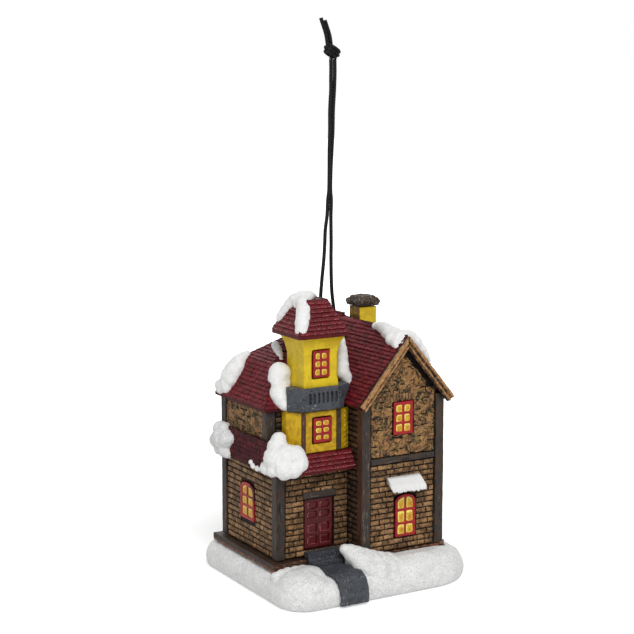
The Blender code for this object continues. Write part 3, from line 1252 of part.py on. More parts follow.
def make_module(finishes):
    """Housing, circuit board, lamp, cell and switch of the light, in the underside of the base."""
    plastic = finishes["black_plastic"]
    inner = MODULE_DIAMETER - 2 * MODULE_WALL
    housing = cylinder("module_housing", (0, 0), MODULE_DIAMETER, MODULE_RECESS, MODULE_TOP, plastic, 48)
    hatch = hatch_outline(GAP)
    knob_x, knob_y = KNOB_SIZE
    slot = (knob_y + SWITCH_TRAVEL) / 2 + GAP
    tools = (
        cylinder("module_hollow", (0, 0), inner - 2 * MODULE_LEDGE, WEB_TOP, MODULE_TOP + MM, None, 48),
        cylinder("board_rebate", (0, 0), inner, BOARD_FOOT - GAP, MODULE_TOP + MM, None, 48),
        cylinder(
            "cell_hole", (-CELL_ASIDE, 0), CELL_DIAMETER + 2 * CELL_CLEARANCE, -MM, WEB_TOP + GAP, None, 40),
        prism("hatch_rebate", [hatch], -MM, WEB_FOOT, None),
        box(
            "knob_slot", (SWITCH_ASIDE - knob_x / 2 - GAP, -slot, -MM),
            (SWITCH_ASIDE + knob_x / 2 + GAP, slot, WEB_TOP + GAP), None),
    )
    for tool in tools:
        combine(housing, cutter(tool))
    boss = cylinder(
        "screw_boss", (SCREW_ASIDE, 0), BOSS_DIAMETER, WEB_TOP - GAP, WEB_TOP + BOSS_HEIGHT, None, 20)
    combine(housing, cutter(boss), "UNION")
    bore = cylinder(
        "screw_bore", (SCREW_ASIDE, 0), SCREW_SHANK + 2 * GAP, -MM, WEB_TOP + BOSS_HEIGHT + MM, None, 16)
    combine(housing, cutter(bore))
    cylinder(
        "circuit_board", (0, 0), inner - 2 * GAP, BOARD_FOOT, MODULE_TOP, finishes["board"], 40)
    cylinder(
        "coin_cell", (-CELL_ASIDE, 0), CELL_DIAMETER, CELL_FOOT, CELL_FOOT + CELL_THICKNESS,
        finishes["steel"], 40)
    reach = CELL_DIAMETER / 2 + GAP
    clip_top = BOARD_FOOT - GAP
    prism(
        "cell_clip",
        [[(reach, WEB_TOP + GAP), (reach + CLIP_THICKNESS, WEB_TOP + GAP),
          (reach + CLIP_THICKNESS, clip_top - CLIP_THICKNESS), (reach + CLIP_TAB, clip_top - CLIP_THICKNESS),
          (reach + CLIP_TAB, clip_top), (reach, clip_top)]],
        -CELL_ASIDE - CLIP_WIDTH / 2, -CELL_ASIDE + CLIP_WIDTH / 2, finishes["steel"], "X")
    size_x, size_y, size_z = SWITCH_BODY
    switch_foot = clip_top - size_z
    box("switch_body", (SWITCH_ASIDE - size_x / 2, -size_y / 2, switch_foot),
        (SWITCH_ASIDE + size_x / 2, size_y / 2, clip_top), finishes["steel"])
    lamp_rings = []
    for share, level in ((1.0, 0.0), (1.0, 0.7), (0.92, 0.82), (0.7, 0.93), (0.38, 0.985), (0.1, 1.0)):
        radius = share * LED_DIAMETER / 2
        z = MODULE_TOP + GAP + level * LED_HEIGHT
        lamp_rings.append([
            (radius * cos(2 * pi * i / 20), radius * sin(2 * pi * i / 20), z) for i in range(20)])
    loft("led_lamp", lamp_rings, finishes["led"], smooth=True)


def hatch_outline(grow=0.0):
    """Plan of the battery hatch: a disc with a lug for its screw."""
    radius = HATCH_DIAMETER / 2 + grow
    lug = HATCH_LUG / 2 + grow
    start = asin(lug / radius)
    disc = []
    steps = 36
    for i in range(steps + 1):
        angle = start + (2 * pi - 2 * start) * i / steps
        disc.append((-CELL_ASIDE + radius * cos(angle), radius * sin(angle)))
    end = []
    for i in range(9):
        angle = -pi / 2 + pi * i / 8
        end.append((SCREW_ASIDE + lug * cos(angle), lug * sin(angle)))
    return disc + end


def make_hatch(finishes):
    """Battery hatch, with its captive screw turning in the lug."""
    hatch = prism("battery_hatch", [hatch_outline()], MODULE_RECESS, HATCH_TOP, finishes["black_plastic"])
    seat = cylinder(
        "screw_seat", (SCREW_ASIDE, 0), SCREW_HEAD + 2 * GAP, -MM,
        MODULE_RECESS + SCREW_HEAD_HEIGHT + GAP, None, 20)
    bore = cylinder("hatch_bore", (SCREW_ASIDE, 0), SCREW_SHANK + 2 * GAP, -MM, HATCH_TOP + MM, None, 16)
    combine(hatch, cutter(seat))
    combine(hatch, cutter(bore))
    head_top = MODULE_RECESS + SCREW_HEAD_HEIGHT
    screw = cylinder("hatch_screw", (0, 0), SCREW_HEAD, MODULE_RECESS, head_top, finishes["steel"], 20)
    shank = cylinder("screw_shank", (0, 0), SCREW_SHANK, head_top - GAP, head_top + SCREW_LENGTH, None, 12)
    half = SCREW_SLOT / 2
    slot = box(
        "screw_slot", (-SCREW_HEAD, -half, -MM), (SCREW_HEAD, half, MODULE_RECESS + SCREW_HEAD_HEIGHT / 2),
        None)
    screw.location.x = SCREW_ASIDE
    for tool, operation in ((shank, "UNION"), (slot, "DIFFERENCE")):
        tool.location.x = SCREW_ASIDE
        combine(screw, cutter(tool), operation)


def make_knob(finishes):
    """Slide knob of the switch, pushed to its off end, with a flange that keeps it behind the plate."""
    knob_x, knob_y = KNOB_SIZE
    switch_foot = BOARD_FOOT - GAP - SWITCH_BODY[2]
    foot = MODULE_RECESS - KNOB_PROUD
    neck = WEB_TOP + GAP
    top = switch_foot - GAP
    half = knob_y / 2
    wide = half + KNOB_FLANGE
    outline = [
        (-half, foot), (half, foot), (half, neck), (wide, neck), (wide, top), (-wide, top), (-wide, neck),
        (-half, neck)]
    prism(
        "switch_knob", [shifted(outline, -SWITCH_TRAVEL / 2, 0)],
        SWITCH_ASIDE - knob_x / 2, SWITCH_ASIDE + knob_x / 2, finishes["black_plastic"], "X")


def build():
    """Make every piece."""
    clear_scene()
    finishes = make_materials()
    make_base(finishes)
    make_path(finishes)
    make_plinth(finishes)
    make_walls(finishes)
    make_timber(finishes)
    make_entrance(finishes)
    make_skirt(finishes)
    make_bay(finishes)
    make_balcony(finishes)
    make_tower(finishes)
    make_main_roof(finishes)
    make_wing_roof(finishes)
    make_chimney(finishes)
    make_awning(finishes)
    make_snow(finishes)
    make_cord(make_eye(finishes), finishes)
    make_module(finishes)
    make_hatch(finishes)
    make_knob(finishes)


build()
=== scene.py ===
"""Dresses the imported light-up christmas house as the painted resin ornament of the photograph.

Every piece is worked out in millimetres from the CAD node that it stands for, and is brought to metres
when it is finished. One tree of Geometry Nodes carves the surfaces, and another lays bricks and shingles.
"""
import logging
import math
import random
from dataclasses import dataclass, field
from enum import Enum
from functools import cache
from typing import Callable, Sequence

import bmesh
import bpy
from mathutils import Euler, Matrix, Vector
from mathutils.noise import noise as noise_at


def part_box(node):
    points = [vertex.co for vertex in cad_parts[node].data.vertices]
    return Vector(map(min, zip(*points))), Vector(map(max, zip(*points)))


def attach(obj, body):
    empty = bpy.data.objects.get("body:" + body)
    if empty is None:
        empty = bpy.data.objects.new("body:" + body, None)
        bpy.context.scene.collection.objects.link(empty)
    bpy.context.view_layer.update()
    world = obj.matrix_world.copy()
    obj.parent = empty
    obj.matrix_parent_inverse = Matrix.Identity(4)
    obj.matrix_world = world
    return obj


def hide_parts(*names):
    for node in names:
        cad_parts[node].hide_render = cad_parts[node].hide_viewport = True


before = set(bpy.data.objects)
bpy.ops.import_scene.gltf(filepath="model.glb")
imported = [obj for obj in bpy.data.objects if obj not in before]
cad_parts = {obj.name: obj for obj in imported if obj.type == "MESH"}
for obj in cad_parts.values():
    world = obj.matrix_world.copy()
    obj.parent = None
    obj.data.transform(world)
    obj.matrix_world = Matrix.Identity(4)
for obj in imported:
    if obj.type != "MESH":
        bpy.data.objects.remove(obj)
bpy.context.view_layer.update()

LOG = logging.getLogger("christmas_house")
MM = 0.001
SEED = 11

Flat = tuple[float, float]
Point = tuple[float, float, float]
Lump = tuple[float, float, float, float]
Colour = tuple[float, float, float, float]
Shaped = Callable[[float, float], float]
Picked = Callable[[Vector, Vector], bool]
Shape = bmesh.types.BMesh
Ring = Sequence[bmesh.types.BMVert]


def paint(code: str) -> Colour:
    """The linear colour of a hex code, by the curve of sRGB.

    Args:
        code: Six hex digits after a hash sign.

    Returns:
        Red, green, blue and alpha.
    """
    parts = [int(code[i:i + 2], 16) / 255 for i in (1, 3, 5)]
    linear = [part / 12.92 if part <= 0.04045 else ((part + 0.055) / 1.055) ** 2.4 for part in parts]
    return (*linear, 1.0)


def held(value: float) -> float:
    """A number kept between 0 and 1."""
    return min(1.0, max(0.0, value))


class Wire:
    """An output socket of a node tree that takes sums and products as Python operators do."""

    def __init__(self, bench: "Bench", socket: bpy.types.NodeSocket) -> None:
        """Keeps the tree's bench and the socket."""
        self.bench = bench
        self.socket = socket

    def maths(self, operation: str, *values: "Wire | float", clamp: bool = False) -> "Wire":
        """Adds a Math node; with clamp its result is kept between 0 and 1."""
        return self.bench.node(
            "ShaderNodeMath", {"operation": operation, "use_clamp": clamp}, dict(enumerate(values)))

    def __add__(self, other: "Wire | float") -> "Wire":
        """Sum."""
        return self.maths("ADD", self, other)

    __radd__ = __add__

    def __mul__(self, other: "Wire | float") -> "Wire":
        """Product."""
        return self.maths("MULTIPLY", self, other)

    __rmul__ = __mul__

    def __sub__(self, other: "Wire | float") -> "Wire":
        """Difference."""
        return self.maths("SUBTRACT", self, other)

    def __rsub__(self, other: float) -> "Wire":
        """A number less this value."""
        return self.maths("SUBTRACT", other, self)

    def __truediv__(self, other: "Wire | float") -> "Wire":
        """Quotient."""
        return self.maths("DIVIDE", self, other)

    def __rtruediv__(self, other: float) -> "Wire":
        """A number divided by this value."""
        return self.maths("DIVIDE", other, self)

    def clamped(self) -> "Wire":
        """The value kept between 0 and 1."""
        return self.maths("ADD", self, 0.0, clamp=True)

    def step(self, low: float, high: float) -> "Wire":
        """A smooth rise from 0 at the low value to 1 at the high one."""
        return self.bench.node(
            "ShaderNodeMapRange", {"interpolation_type": "SMOOTHSTEP"},
            {"Value": self, "From Min": low, "From Max": high})

    def sibling(self, output: str) -> "Wire":
        """Another output of the same node."""
        return Wire(self.bench, self.socket.node.outputs[output])


class Bench:
    """Adds nodes to a tree, for materials and for geometry alike."""

    def __init__(self, tree: bpy.types.NodeTree) -> None:
        """Empties the tree and keeps it."""
        self.tree = tree
        self.tree.nodes.clear()

    def node(self, kind: str, settings: dict[str, object] | None = None,
             inputs: dict[str | int, object] | None = None, output: int = 0) -> Wire:
        """Adds any node.

        Args:
            kind: The node's type.
            settings: Its properties, set first.
            inputs: A value or a wire for each socket's name or number.
            output: The number of the output to return.

        Returns:
            That output, or a wire with no socket where the node ends the tree.
        """
        made = self.tree.nodes.new(kind)
        for key, value in (settings or {}).items():
            setattr(made, key, value)
        for key, value in (inputs or {}).items():
            if isinstance(value, Wire):
                self.tree.links.new(value.socket, made.inputs[key])
            else:
                made.inputs[key].default_value = value
        return Wire(self, made.outputs[output] if made.outputs else None)

    def vector(self, operation: str, *values: "Wire | Point") -> Wire:
        """Adds a Vector Math node."""
        return self.node("ShaderNodeVectorMath", {"operation": operation}, dict(enumerate(values)))

    def scaled(self, vector: Wire, factor: "Wire | float") -> Wire:
        """A vector times a number."""
        return self.node("ShaderNodeVectorMath", {"operation": "SCALE"}, {0: vector, 3: factor})

    def noise(self, place: Wire, size: float, detail: float = 3.0, rough: float = 0.55,
              warp: float = 0.0) -> Wire:
        """Noise about 0.5 with lumps of a size in millimetres, finer layers in it and some distortion."""
        return self.node("ShaderNodeTexNoise", None, {
            "Vector": place, "Scale": 1.0 / size, "Detail": detail, "Roughness": rough, "Distortion": warp})


class Recipe(Bench):
    """A material's tree."""

    def __init__(self, name: str) -> None:
        """Makes an empty material.

        Args:
            name: The material's name.
        """
        self.material = bpy.data.materials.new(name)
        self.material.use_nodes = True
        super().__init__(self.material.node_tree)

    def place(self, stretch: Point = (1.0, 1.0, 1.0)) -> Wire:
        """Object coordinates in millimetres, with a factor below 1 where a pattern runs long."""
        raw = self.node("ShaderNodeTexCoord", None, None, 3)
        return self.vector("MULTIPLY", raw, tuple(factor / MM for factor in stretch))

    def attribute(self, name: str) -> Wire:
        """A number stored on the mesh."""
        return self.node("ShaderNodeAttribute", {"attribute_name": name}, None, 2)

    def mix(self, mask: Wire | float, first: Wire | Colour, second: Wire | Colour) -> Wire:
        """Mixes two colours; a mask of 0 gives the first and 1 the second."""
        return self.node("ShaderNodeMix", {"data_type": "RGBA"}, {0: mask, 6: first, 7: second}, 2)

    def bump(self, height: Wire, depth: float) -> Wire:
        """A normal bumped by a height from 0 to 1; the depth of the whole bump is in millimetres."""
        return self.node("ShaderNodeBump", None, {"Strength": 1.0, "Distance": depth * MM, "Height": height})

    def surface(self, **sockets: Wire | float | Colour) -> bpy.types.Material:
        """Ends the tree in a Principled surface.

        Args:
            sockets: Values and wires by socket name, with spaces written as underscores.

        Returns:
            The finished material.
        """
        inputs = {name.replace("_", " "): value for name, value in sockets.items()}
        shader = self.node("ShaderNodeBsdfPrincipled", None, inputs)
        self.node("ShaderNodeOutputMaterial", None, {"Surface": shader})
        return self.material


@dataclass(frozen=True)
class Resin:
    """Painted cast resin: a base coat, a dark wash in the hollows and dry-brushed high spots.

    The relief that the mesh carries, from 0 in a hollow to 1 on a high spot, moves the three coats. Each
    pair of numbers is the band of a smooth step, and the sizes and depths are in millimetres.
    """

    slot: str
    base: str
    light: str
    dark: str
    patch: str = ""
    patch_size: float = 4.0
    patch_share: float = 0.5
    patch_edge: float = 0.05
    speck: str = ""
    speck_size: float = 0.35
    speck_share: float = 0.3
    speck_strength: float = 0.75
    grain: Point = (1.0, 1.0, 1.0)
    grain_size: float = 0.3
    carved: bool = True
    uncarved_relief: float = 0.6
    wash: Flat = (0.2, 0.54)
    brush: Flat = (0.78, 1.1)
    brush_strength: float = 0.8
    rough: float = 0.45
    rough_spread: float = 0.3
    depth: float = 0.14
    coat: float = 0.0
    tones: bool = False
    tone_strength: float = 0.35
    light_tones: Flat = (0.55, 1.0)
    dark_tones: Flat = (0.6, 1.0)
    scratch: float = 0.0
    scratch_strength: float = 0.9
    scratch_line: Flat = (0.018, 0.062)
    scratched: Flat = (0.36, 0.52)
    cloud: float = 0.25
    cloud_edge: float = 0.06
    fleck: float = 0.9
    shine: float = 0.25

    def make(self) -> bpy.types.Material:
        """Builds the material.

        Returns:
            The material.
        """
        shop = Recipe(self.slot)
        base, light, dark = paint(self.base), paint(self.light), paint(self.dark)
        place = shop.place()
        fine = shop.noise(shop.place(self.grain), self.grain_size, 5.0, 0.62)
        broad = shop.noise(place, self.patch_size, 3.0, 0.6, 0.6)
        relief = shop.attribute("relief") if self.carved else self.uncarved_relief
        high = (fine - 0.5) * self.fleck + relief
        colour = shop.mix((broad - 0.5).step(-self.cloud_edge, self.cloud_edge) * self.cloud, base, dark)
        if self.patch:
            edge = 0.5 - (self.patch_share - 0.5) * 0.5
            patches = broad.step(edge - self.patch_edge, edge + self.patch_edge)
            colour = shop.mix(patches, colour, paint(self.patch))
        if self.tones:
            tone = shop.attribute("tone")
            colour = shop.mix(tone.step(*self.light_tones) * self.tone_strength, colour, light)
            colour = shop.mix((1.0 - tone).step(*self.dark_tones) * self.tone_strength, colour, dark)
        colour = shop.mix(high.step(*self.brush) * self.brush_strength, colour, light)
        colour = shop.mix(1.0 - high.step(*self.wash), colour, dark)
        if self.speck:
            start = 0.7 - self.speck_share * 0.3
            grains = shop.noise(place, self.speck_size, 2.0, 0.7).step(start, start + 0.04)
            colour = shop.mix(grains * self.speck_strength, colour, paint(self.speck))
        height = fine
        if self.scratch:
            swirl = shop.noise(place, self.scratch, 4.0, 0.62, 1.6) - 0.5
            line = 1.0 - swirl.maths("ABSOLUTE", swirl).step(*self.scratch_line)
            line = line * self.scratch_strength * broad.step(*self.scratched)
            colour = shop.mix(line, colour, dark)
            height = fine - line
        least = self.rough - self.rough_spread / 2
        return shop.surface(
            Base_Color=colour, Roughness=(fine * self.rough_spread + least).clamped(), Coat_Weight=self.coat,
            Coat_Roughness=0.35, Specular_IOR_Level=self.shine, Normal=shop.bump(height, self.depth))


@dataclass(frozen=True)
class Bare:
    """Bare steel with fine turning marks, or bare moulded plastic with a fine grain, a little stained."""

    slot: str
    tint: str
    stain: str
    stain_size: float
    stain_band: Flat
    stain_share: float
    grain_size: float
    rough: float
    depth: float
    stain_detail: float = 3.0
    grain: Point = (1.0, 1.0, 1.0)
    grain_rough: float = 0.55
    metallic: float = 0.0

    def make(self) -> bpy.types.Material:
        """Builds the material.

        Returns:
            The material.
        """
        shop = Recipe(self.slot)
        grain = shop.noise(shop.place(self.grain), self.grain_size, 4.0, self.grain_rough)
        stains = shop.noise(shop.place(), self.stain_size, self.stain_detail).step(*self.stain_band)
        return shop.surface(
            Base_Color=shop.mix(stains * self.stain_share, paint(self.tint), paint(self.stain)),
            Roughness=(grain * 0.25 + self.rough).clamped(), Metallic=self.metallic,
            Normal=shop.bump(grain, self.depth))


@dataclass(frozen=True)
class CircuitBoard:
    """Green solder mask with paler tracks under it."""

    slot: str
    mask: str = "#0E5A2B"
    track: str = "#2C8A48"
    track_strength: float = 0.6
    rough: float = 0.25
    depth: float = 0.03

    def make(self) -> bpy.types.Material:
        """Builds the material.

        Returns:
            The material.
        """
        shop = Recipe(self.slot)
        place = shop.place()
        tracks = shop.node("ShaderNodeTexWave", {"wave_type": "BANDS", "bands_direction": "X"}, {
            "Vector": place, "Scale": 0.22, "Distortion": 3.0, "Detail": 1.0}, 1)
        return shop.surface(
            Base_Color=shop.mix(
                tracks.step(0.45, 0.55) * self.track_strength, paint(self.mask), paint(self.track)),
            Roughness=(shop.noise(place, 0.8) * 0.2 + self.rough).clamped(),
            Normal=shop.bump(tracks, self.depth))


@dataclass(frozen=True)
class Lens:
    """Clear moulded lens of the lamp, slightly milky."""

    slot: str
    clear: str = "#F4EED8"
    milky: str = "#E6DDB8"
    glow: str = "#FFE9A8"

    def make(self) -> bpy.types.Material:
        """Builds the material.

        Returns:
            The material.
        """
        shop = Recipe(self.slot)
        haze = shop.noise(shop.place(), 1.2)
        return shop.surface(
            Base_Color=shop.mix(haze, paint(self.clear), paint(self.milky)),
            Roughness=(haze * 0.2 + 0.05).clamped(), Transmission_Weight=0.45, IOR=1.5, Coat_Weight=0.5,
            Coat_Roughness=0.1, Emission_Color=paint(self.glow), Emission_Strength=0.15)


@dataclass(frozen=True)
class WaxedCord:
    """Dark waxed cord with the twist of its strands."""

    slot: str
    tint: str = "#070708"
    worn: str = "#1E1E22"
    lint_size: float = 0.4
    rough: float = 0.45
    depth: float = 0.12

    def make(self) -> bpy.types.Material:
        """Builds the material.

        Returns:
            The material.
        """
        shop = Recipe(self.slot)
        place = shop.place()
        strands = shop.node("ShaderNodeTexWave", {"wave_type": "BANDS", "bands_direction": "DIAGONAL"}, {
            "Vector": place, "Scale": 0.75, "Distortion": 1.2, "Detail": 2.0, "Detail Scale": 2.0}, 1)
        lint = shop.noise(place, self.lint_size, 4.0, 0.7)
        wear = (strands * 0.6 + lint * 0.4).step(0.3, 0.95)
        return shop.surface(
            Base_Color=shop.mix(wear, paint(self.tint), paint(self.worn)),
            Roughness=(lint * 0.3 + self.rough).clamped(), Specular_IOR_Level=0.2,
            Normal=shop.bump(strands + lint * 0.4, self.depth))


class Finish(Enum):
    """The finishes of the house, each with the record's slot that it stands for."""

    SNOW = Resin(
        "snow", "#E4E4E2", "#F1F1F0", "#B4B8BE", speck="#A9ADB2", speck_size=0.3,
        speck_share=0.42, grain_size=0.45, wash=(-0.1, 0.3), brush=(0.5, 0.9), rough=0.6, cloud=0.13)
    ROOF_SNOW = Resin(
        "snow", "#E6E6E4", "#F1F1F0", "#B4B8BE", grain_size=0.6, wash=(-0.25, 0.2),
        brush=(0.5, 0.9), rough=0.6, depth=0.07, cloud=0.06)
    CRUMBLED_SNOW = Resin(
        "snow", "#DDDDDC", "#EFEFEE", "#A9ADB3", speck="#B4B8BE", grain_size=0.45,
        wash=(-0.05, 0.34), brush=(0.6, 1.0), rough=0.65, cloud=0.1)
    SLATE = Resin(
        "slate", "#383B41", "#8F959E", "#17181B", speck="#B4B9C2", speck_size=0.2,
        grain_size=0.35, wash=(0.1, 0.42), brush=(0.76, 1.05), depth=0.16)
    RAIL = Resin(
        "slate", "#494C51", "#9A9EA5", "#111214", speck="#8A8F97", speck_size=0.25,
        speck_share=0.05, grain_size=0.4, wash=(0.12, 0.46), depth=0.1)
    PLINTH = Resin(
        "plinth", "#35261D", "#9A5F3E", "#120D0A", grain=(0.4, 0.4, 1.6), grain_size=0.4,
        wash=(0.15, 0.5), brush=(0.76, 1.02), rough=0.48, fleck=1.3)
    BRICK = Resin(
        "brick", "#9C754D", "#C39B6E", "#231812", patch="#8A6743", patch_size=3.2,
        grain=(1.0, 1.0, 0.5), wash=(0.2, 0.62), brush=(0.86, 1.15), rough=0.5, tones=True, scratch=1.3,
        scratch_strength=0.7, fleck=2.4)
    SHADED_BRICK = Resin(
        "brick", "#54402E", "#7C6044", "#120D0A", patch="#3B2C20", patch_size=3.0,
        patch_share=0.6, grain=(1.0, 1.0, 0.5), wash=(0.3, 0.74), brush=(0.9, 1.15), rough=0.5, tones=True,
        fleck=1.9)
    MORTAR = Resin(
        "brick", "#16110E", "#3E3025", "#0A0706", grain_size=0.4, carved=False,
        wash=(0.12, 0.42), brush=(0.78, 1.0), rough=0.7, depth=0.08)
    STUCCO = Resin(
        "brick", "#987044", "#BF9463", "#1F1611", patch="#7A6639", patch_size=2.6,
        patch_share=0.4, grain_size=0.4, wash=(0.2, 0.5), brush=(0.8, 1.1), rough=0.5, depth=0.16,
        scratch=2.7, scratch_strength=1.0, fleck=1.1)
    TIMBER = Resin(
        "timber", "#35302D", "#857A6E", "#0F0C0B", patch="#423329", patch_size=2.4,
        grain=(1.0, 1.0, 0.12), wash=(0.18, 0.5), brush=(0.78, 1.05), brush_strength=0.7, fleck=1.2)
    BROWN_TIMBER = Resin(
        "timber", "#54362A", "#8D6248", "#1A110D", grain=(1.0, 1.0, 0.12),
        wash=(0.18, 0.5), brush=(0.8, 1.1), fleck=1.2)
    WINDOW = Resin(
        "window", "#A2181F", "#C93F42", "#480A12", grain_size=0.5, wash=(0.08, 0.42),
        brush=(0.88, 1.2), rough=0.36, depth=0.05, coat=0.2)
    LIGHT = Resin(
        "window", "#D2AC26", "#FFF07A", "#6E5412", patch="#D8752A", patch_size=1.1,
        patch_share=0.32, grain_size=0.55, wash=(0.12, 0.55), brush=(0.75, 1.0), rough=0.35, depth=0.03,
        coat=0.2, fleck=1.3)
    DOOR = Resin(
        "door", "#561014", "#CE7C80", "#220608", grain_size=0.5, wash=(0.15, 0.5),
        brush=(0.95, 1.2), rough=0.36, depth=0.06, coat=0.15)
    SHINGLE = Resin(
        "shingle", "#64131A", "#8E2F37", "#26060A", patch="#540E15", patch_size=2.2,
        grain_size=0.35, brush=(0.86, 1.2), brush_strength=0.6, rough=0.5, depth=0.12, tones=True,
        fleck=1.1, shine=0.16)
    GLOSSY_SHINGLE = Resin(
        "shingle", "#6C151C", "#C78A8E", "#26060A", patch="#5A1017", patch_size=2.0,
        brush=(0.88, 1.1), rough=0.42, fleck=1.3, shine=0.2)
    SHADED_SHINGLE = Resin(
        "shingle", "#431015", "#74262D", "#1A0406", patch="#350A0F", patch_size=2.0,
        grain_size=0.35, brush=(0.9, 1.2), rough=0.55, depth=0.12, tones=True, fleck=1.1, shine=0.12)
    YELLOW = Resin(
        "yellow", "#DDBF1C", "#E8D455", "#8F7A18", patch="#D0B01F", patch_size=2.6,
        grain=(1.0, 1.0, 0.35), grain_size=0.8, wash=(-0.02, 0.3), brush_strength=0.55, rough=0.42,
        depth=0.06, coat=0.1)
    OCHRE = Resin(
        "yellow", "#CDA616", "#DDC44C", "#6E5412", patch="#B28B10", patch_size=2.2,
        grain=(1.0, 1.0, 0.3), grain_size=0.7, wash=(0.0, 0.34), brush_strength=0.55, rough=0.42,
        depth=0.08, coat=0.1)
    # The chimney's left faces: partly darker paint and partly painted shade
    SOOTED_YELLOW = Resin(
        "yellow", "#A07A1C", "#BF9C3A", "#2A1E0E", patch="#64471A", patch_size=1.8,
        grain_size=0.6, wash=(0.1, 0.5), brush=(0.8, 1.1), depth=0.08, cloud=0.6)
    BARGE = Resin(
        "barge", "#966B41", "#C49464", "#1D1510", patch="#7A5A38", patch_size=2.0,
        grain=(0.7, 1.0, 0.7), brush=(0.82, 1.12), rough=0.48, depth=0.16, fleck=1.5)
    CAP = Resin(
        "cap", "#54463A", "#B5A492", "#100C0A", patch="#362D26", patch_size=1.2,
        grain_size=0.35, wash=(0.28, 0.62), brush=(0.74, 0.98), rough=0.55, depth=0.2, fleck=1.5)
    STEEL = Bare(
        "steel", "#B9BABD", "#77746E", 2.5, (0.45, 0.75), 0.35, 0.5, 0.28, 0.01,
        grain=(1.0, 1.0, 6.0), metallic=1.0)
    CORD = WaxedCord("cord")
    PLASTIC = Bare(
        "black_plastic", "#1B1B1D", "#333336", 3.0, (0.5, 0.8), 0.5, 0.22, 0.5, 0.02,
        stain_detail=4.0, grain_rough=0.7)
    BOARD = CircuitBoard("board")
    LED = Lens("led")


@cache
def coat(finish: Finish) -> bpy.types.Material:
    """A finish's material, made and named when it is first asked for."""
    material = finish.value.make()
    material.name = finish.name.lower() + "_finish"
    return material


@dataclass(frozen=True)
class Carving:
    """How a smooth form is roughened: sizes and depths in millimetres, and nothing below the floor."""

    voxel: float = 0.2
    smooth: int = 2
    broad_size: float = 2.5
    broad_depth: float = 0.12
    fine_size: float = 0.6
    fine_depth: float = 0.05
    stretch: Point = (1.0, 1.0, 1.0)
    floor: float = -100.0


class Geometry(Bench):
    """A Geometry Nodes tree with named inputs."""

    def __init__(self, name: str, **inputs: str) -> None:
        """Makes the tree.

        Args:
            name: The tree's name.
            inputs: Type of each input after the geometry, by its name with underscores for spaces.
        """
        group = bpy.data.node_groups.new(name, "GeometryNodeTree")
        super().__init__(group)
        group.is_modifier = True
        for way in ("INPUT", "OUTPUT"):
            group.interface.new_socket("Geometry", in_out=way, socket_type="NodeSocketGeometry")
        for title, kind in inputs.items():
            group.interface.new_socket(
                title.replace("_", " "), in_out="INPUT", socket_type="NodeSocket" + kind)
        self.entry = group.nodes.new("NodeGroupInput")

    def given(self, name: str) -> Wire:
        """One of the tree's inputs."""
        return Wire(self, self.entry.outputs[name])

    def finish(self, shape: Wire) -> bpy.types.GeometryNodeTree:
        """Ends the tree with smooth shading and the material.

        Args:
            shape: The finished geometry.

        Returns:
            The tree.
        """
        shaded = self.node("GeometryNodeSetShadeSmooth", None, {"Geometry": shape, "Shade Smooth": True})
        dressed = self.node(
            "GeometryNodeSetMaterial", None, {"Geometry": shaded, "Material": self.given("Material")})
        self.node("NodeGroupOutput", None, {0: dressed})
        return self.tree

    def lumps(self, place: Wire, size: Wire, output: int = 0) -> Wire:
        """Noise whose size is an input of the tree; output 0 is its value and 1 its colour."""
        return self.node("ShaderNodeTexNoise", None, {
            "Vector": self.scaled(place, 1.0 / size), "Scale": 1.0, "Detail": 2.5, "Roughness": 0.55}, output)

    def named(self, name: str) -> Wire:
        """Reads a stored vector."""
        return self.node("GeometryNodeInputNamedAttribute", {"data_type": "FLOAT_VECTOR"}, {"Name": name})


def carving_tree() -> bpy.types.GeometryNodeTree:
    """Roughens a surface along its normals and stores how high each point stands.

    Returns:
        The tree.
    """
    tree = Geometry(
        "carve", Broad_Size="Float", Broad_Depth="Float", Fine_Size="Float", Fine_Depth="Float",
        Stretch="Vector", Floor="Float", Material="Material")
    place = tree.vector("MULTIPLY", tree.node("GeometryNodeInputPosition"), tree.given("Stretch"))
    broad = tree.lumps(place, tree.given("Broad Size"))
    fine = tree.lumps(place, tree.given("Fine Size"))
    move = (broad - 0.5) * 2.0 * tree.given("Broad Depth") + (fine - 0.5) * 2.0 * tree.given("Fine Depth")
    height = tree.node("ShaderNodeSeparateXYZ", None, {0: tree.node("GeometryNodeInputPosition")}, 2)
    above = (height - tree.given("Floor")).step(0.0, FLOOR_BLEND)
    shape = tree.node("GeometryNodeSetPosition", None, {
        "Geometry": tree.given("Geometry"),
        "Offset": tree.scaled(tree.node("GeometryNodeInputNormal"), move * above)})
    relief = ((fine - 0.5) * FINE_RELIEF + (broad - 0.5) * BROAD_RELIEF + MEAN_RELIEF).clamped()
    return tree.finish(tree.node(
        "GeometryNodeStoreNamedAttribute", {"data_type": "FLOAT", "domain": "POINT"},
        {"Geometry": shape, "Name": "relief", "Value": relief}))


def laying_tree() -> bpy.types.GeometryNodeTree:
    """Lays one form on every point, turned and sized by the point, and wobbles the result.

    Returns:
        The tree.
    """
    tree = Geometry("lay", Form="Object", Wobble="Float", Wobble_Size="Float", Material="Material")
    form = tree.node(
        "GeometryNodeObjectInfo", {"transform_space": "ORIGINAL"}, {"Object": tree.given("Form")}, 4)
    laid = tree.node("GeometryNodeInstanceOnPoints", None, {
        "Points": tree.given("Geometry"), "Instance": form, "Rotation": tree.named("turn"),
        "Scale": tree.named("size")})
    solid = tree.node("GeometryNodeRealizeInstances", None, {"Geometry": laid})
    drift = tree.lumps(tree.node("GeometryNodeInputPosition"), tree.given("Wobble Size"), 1)
    offset = tree.scaled(tree.vector("SUBTRACT", drift, (0.5, 0.5, 0.5)), tree.given("Wobble"))
    shape = tree.node("GeometryNodeSetPosition", None, {"Geometry": solid, "Offset": offset})
    return tree.finish(shape)


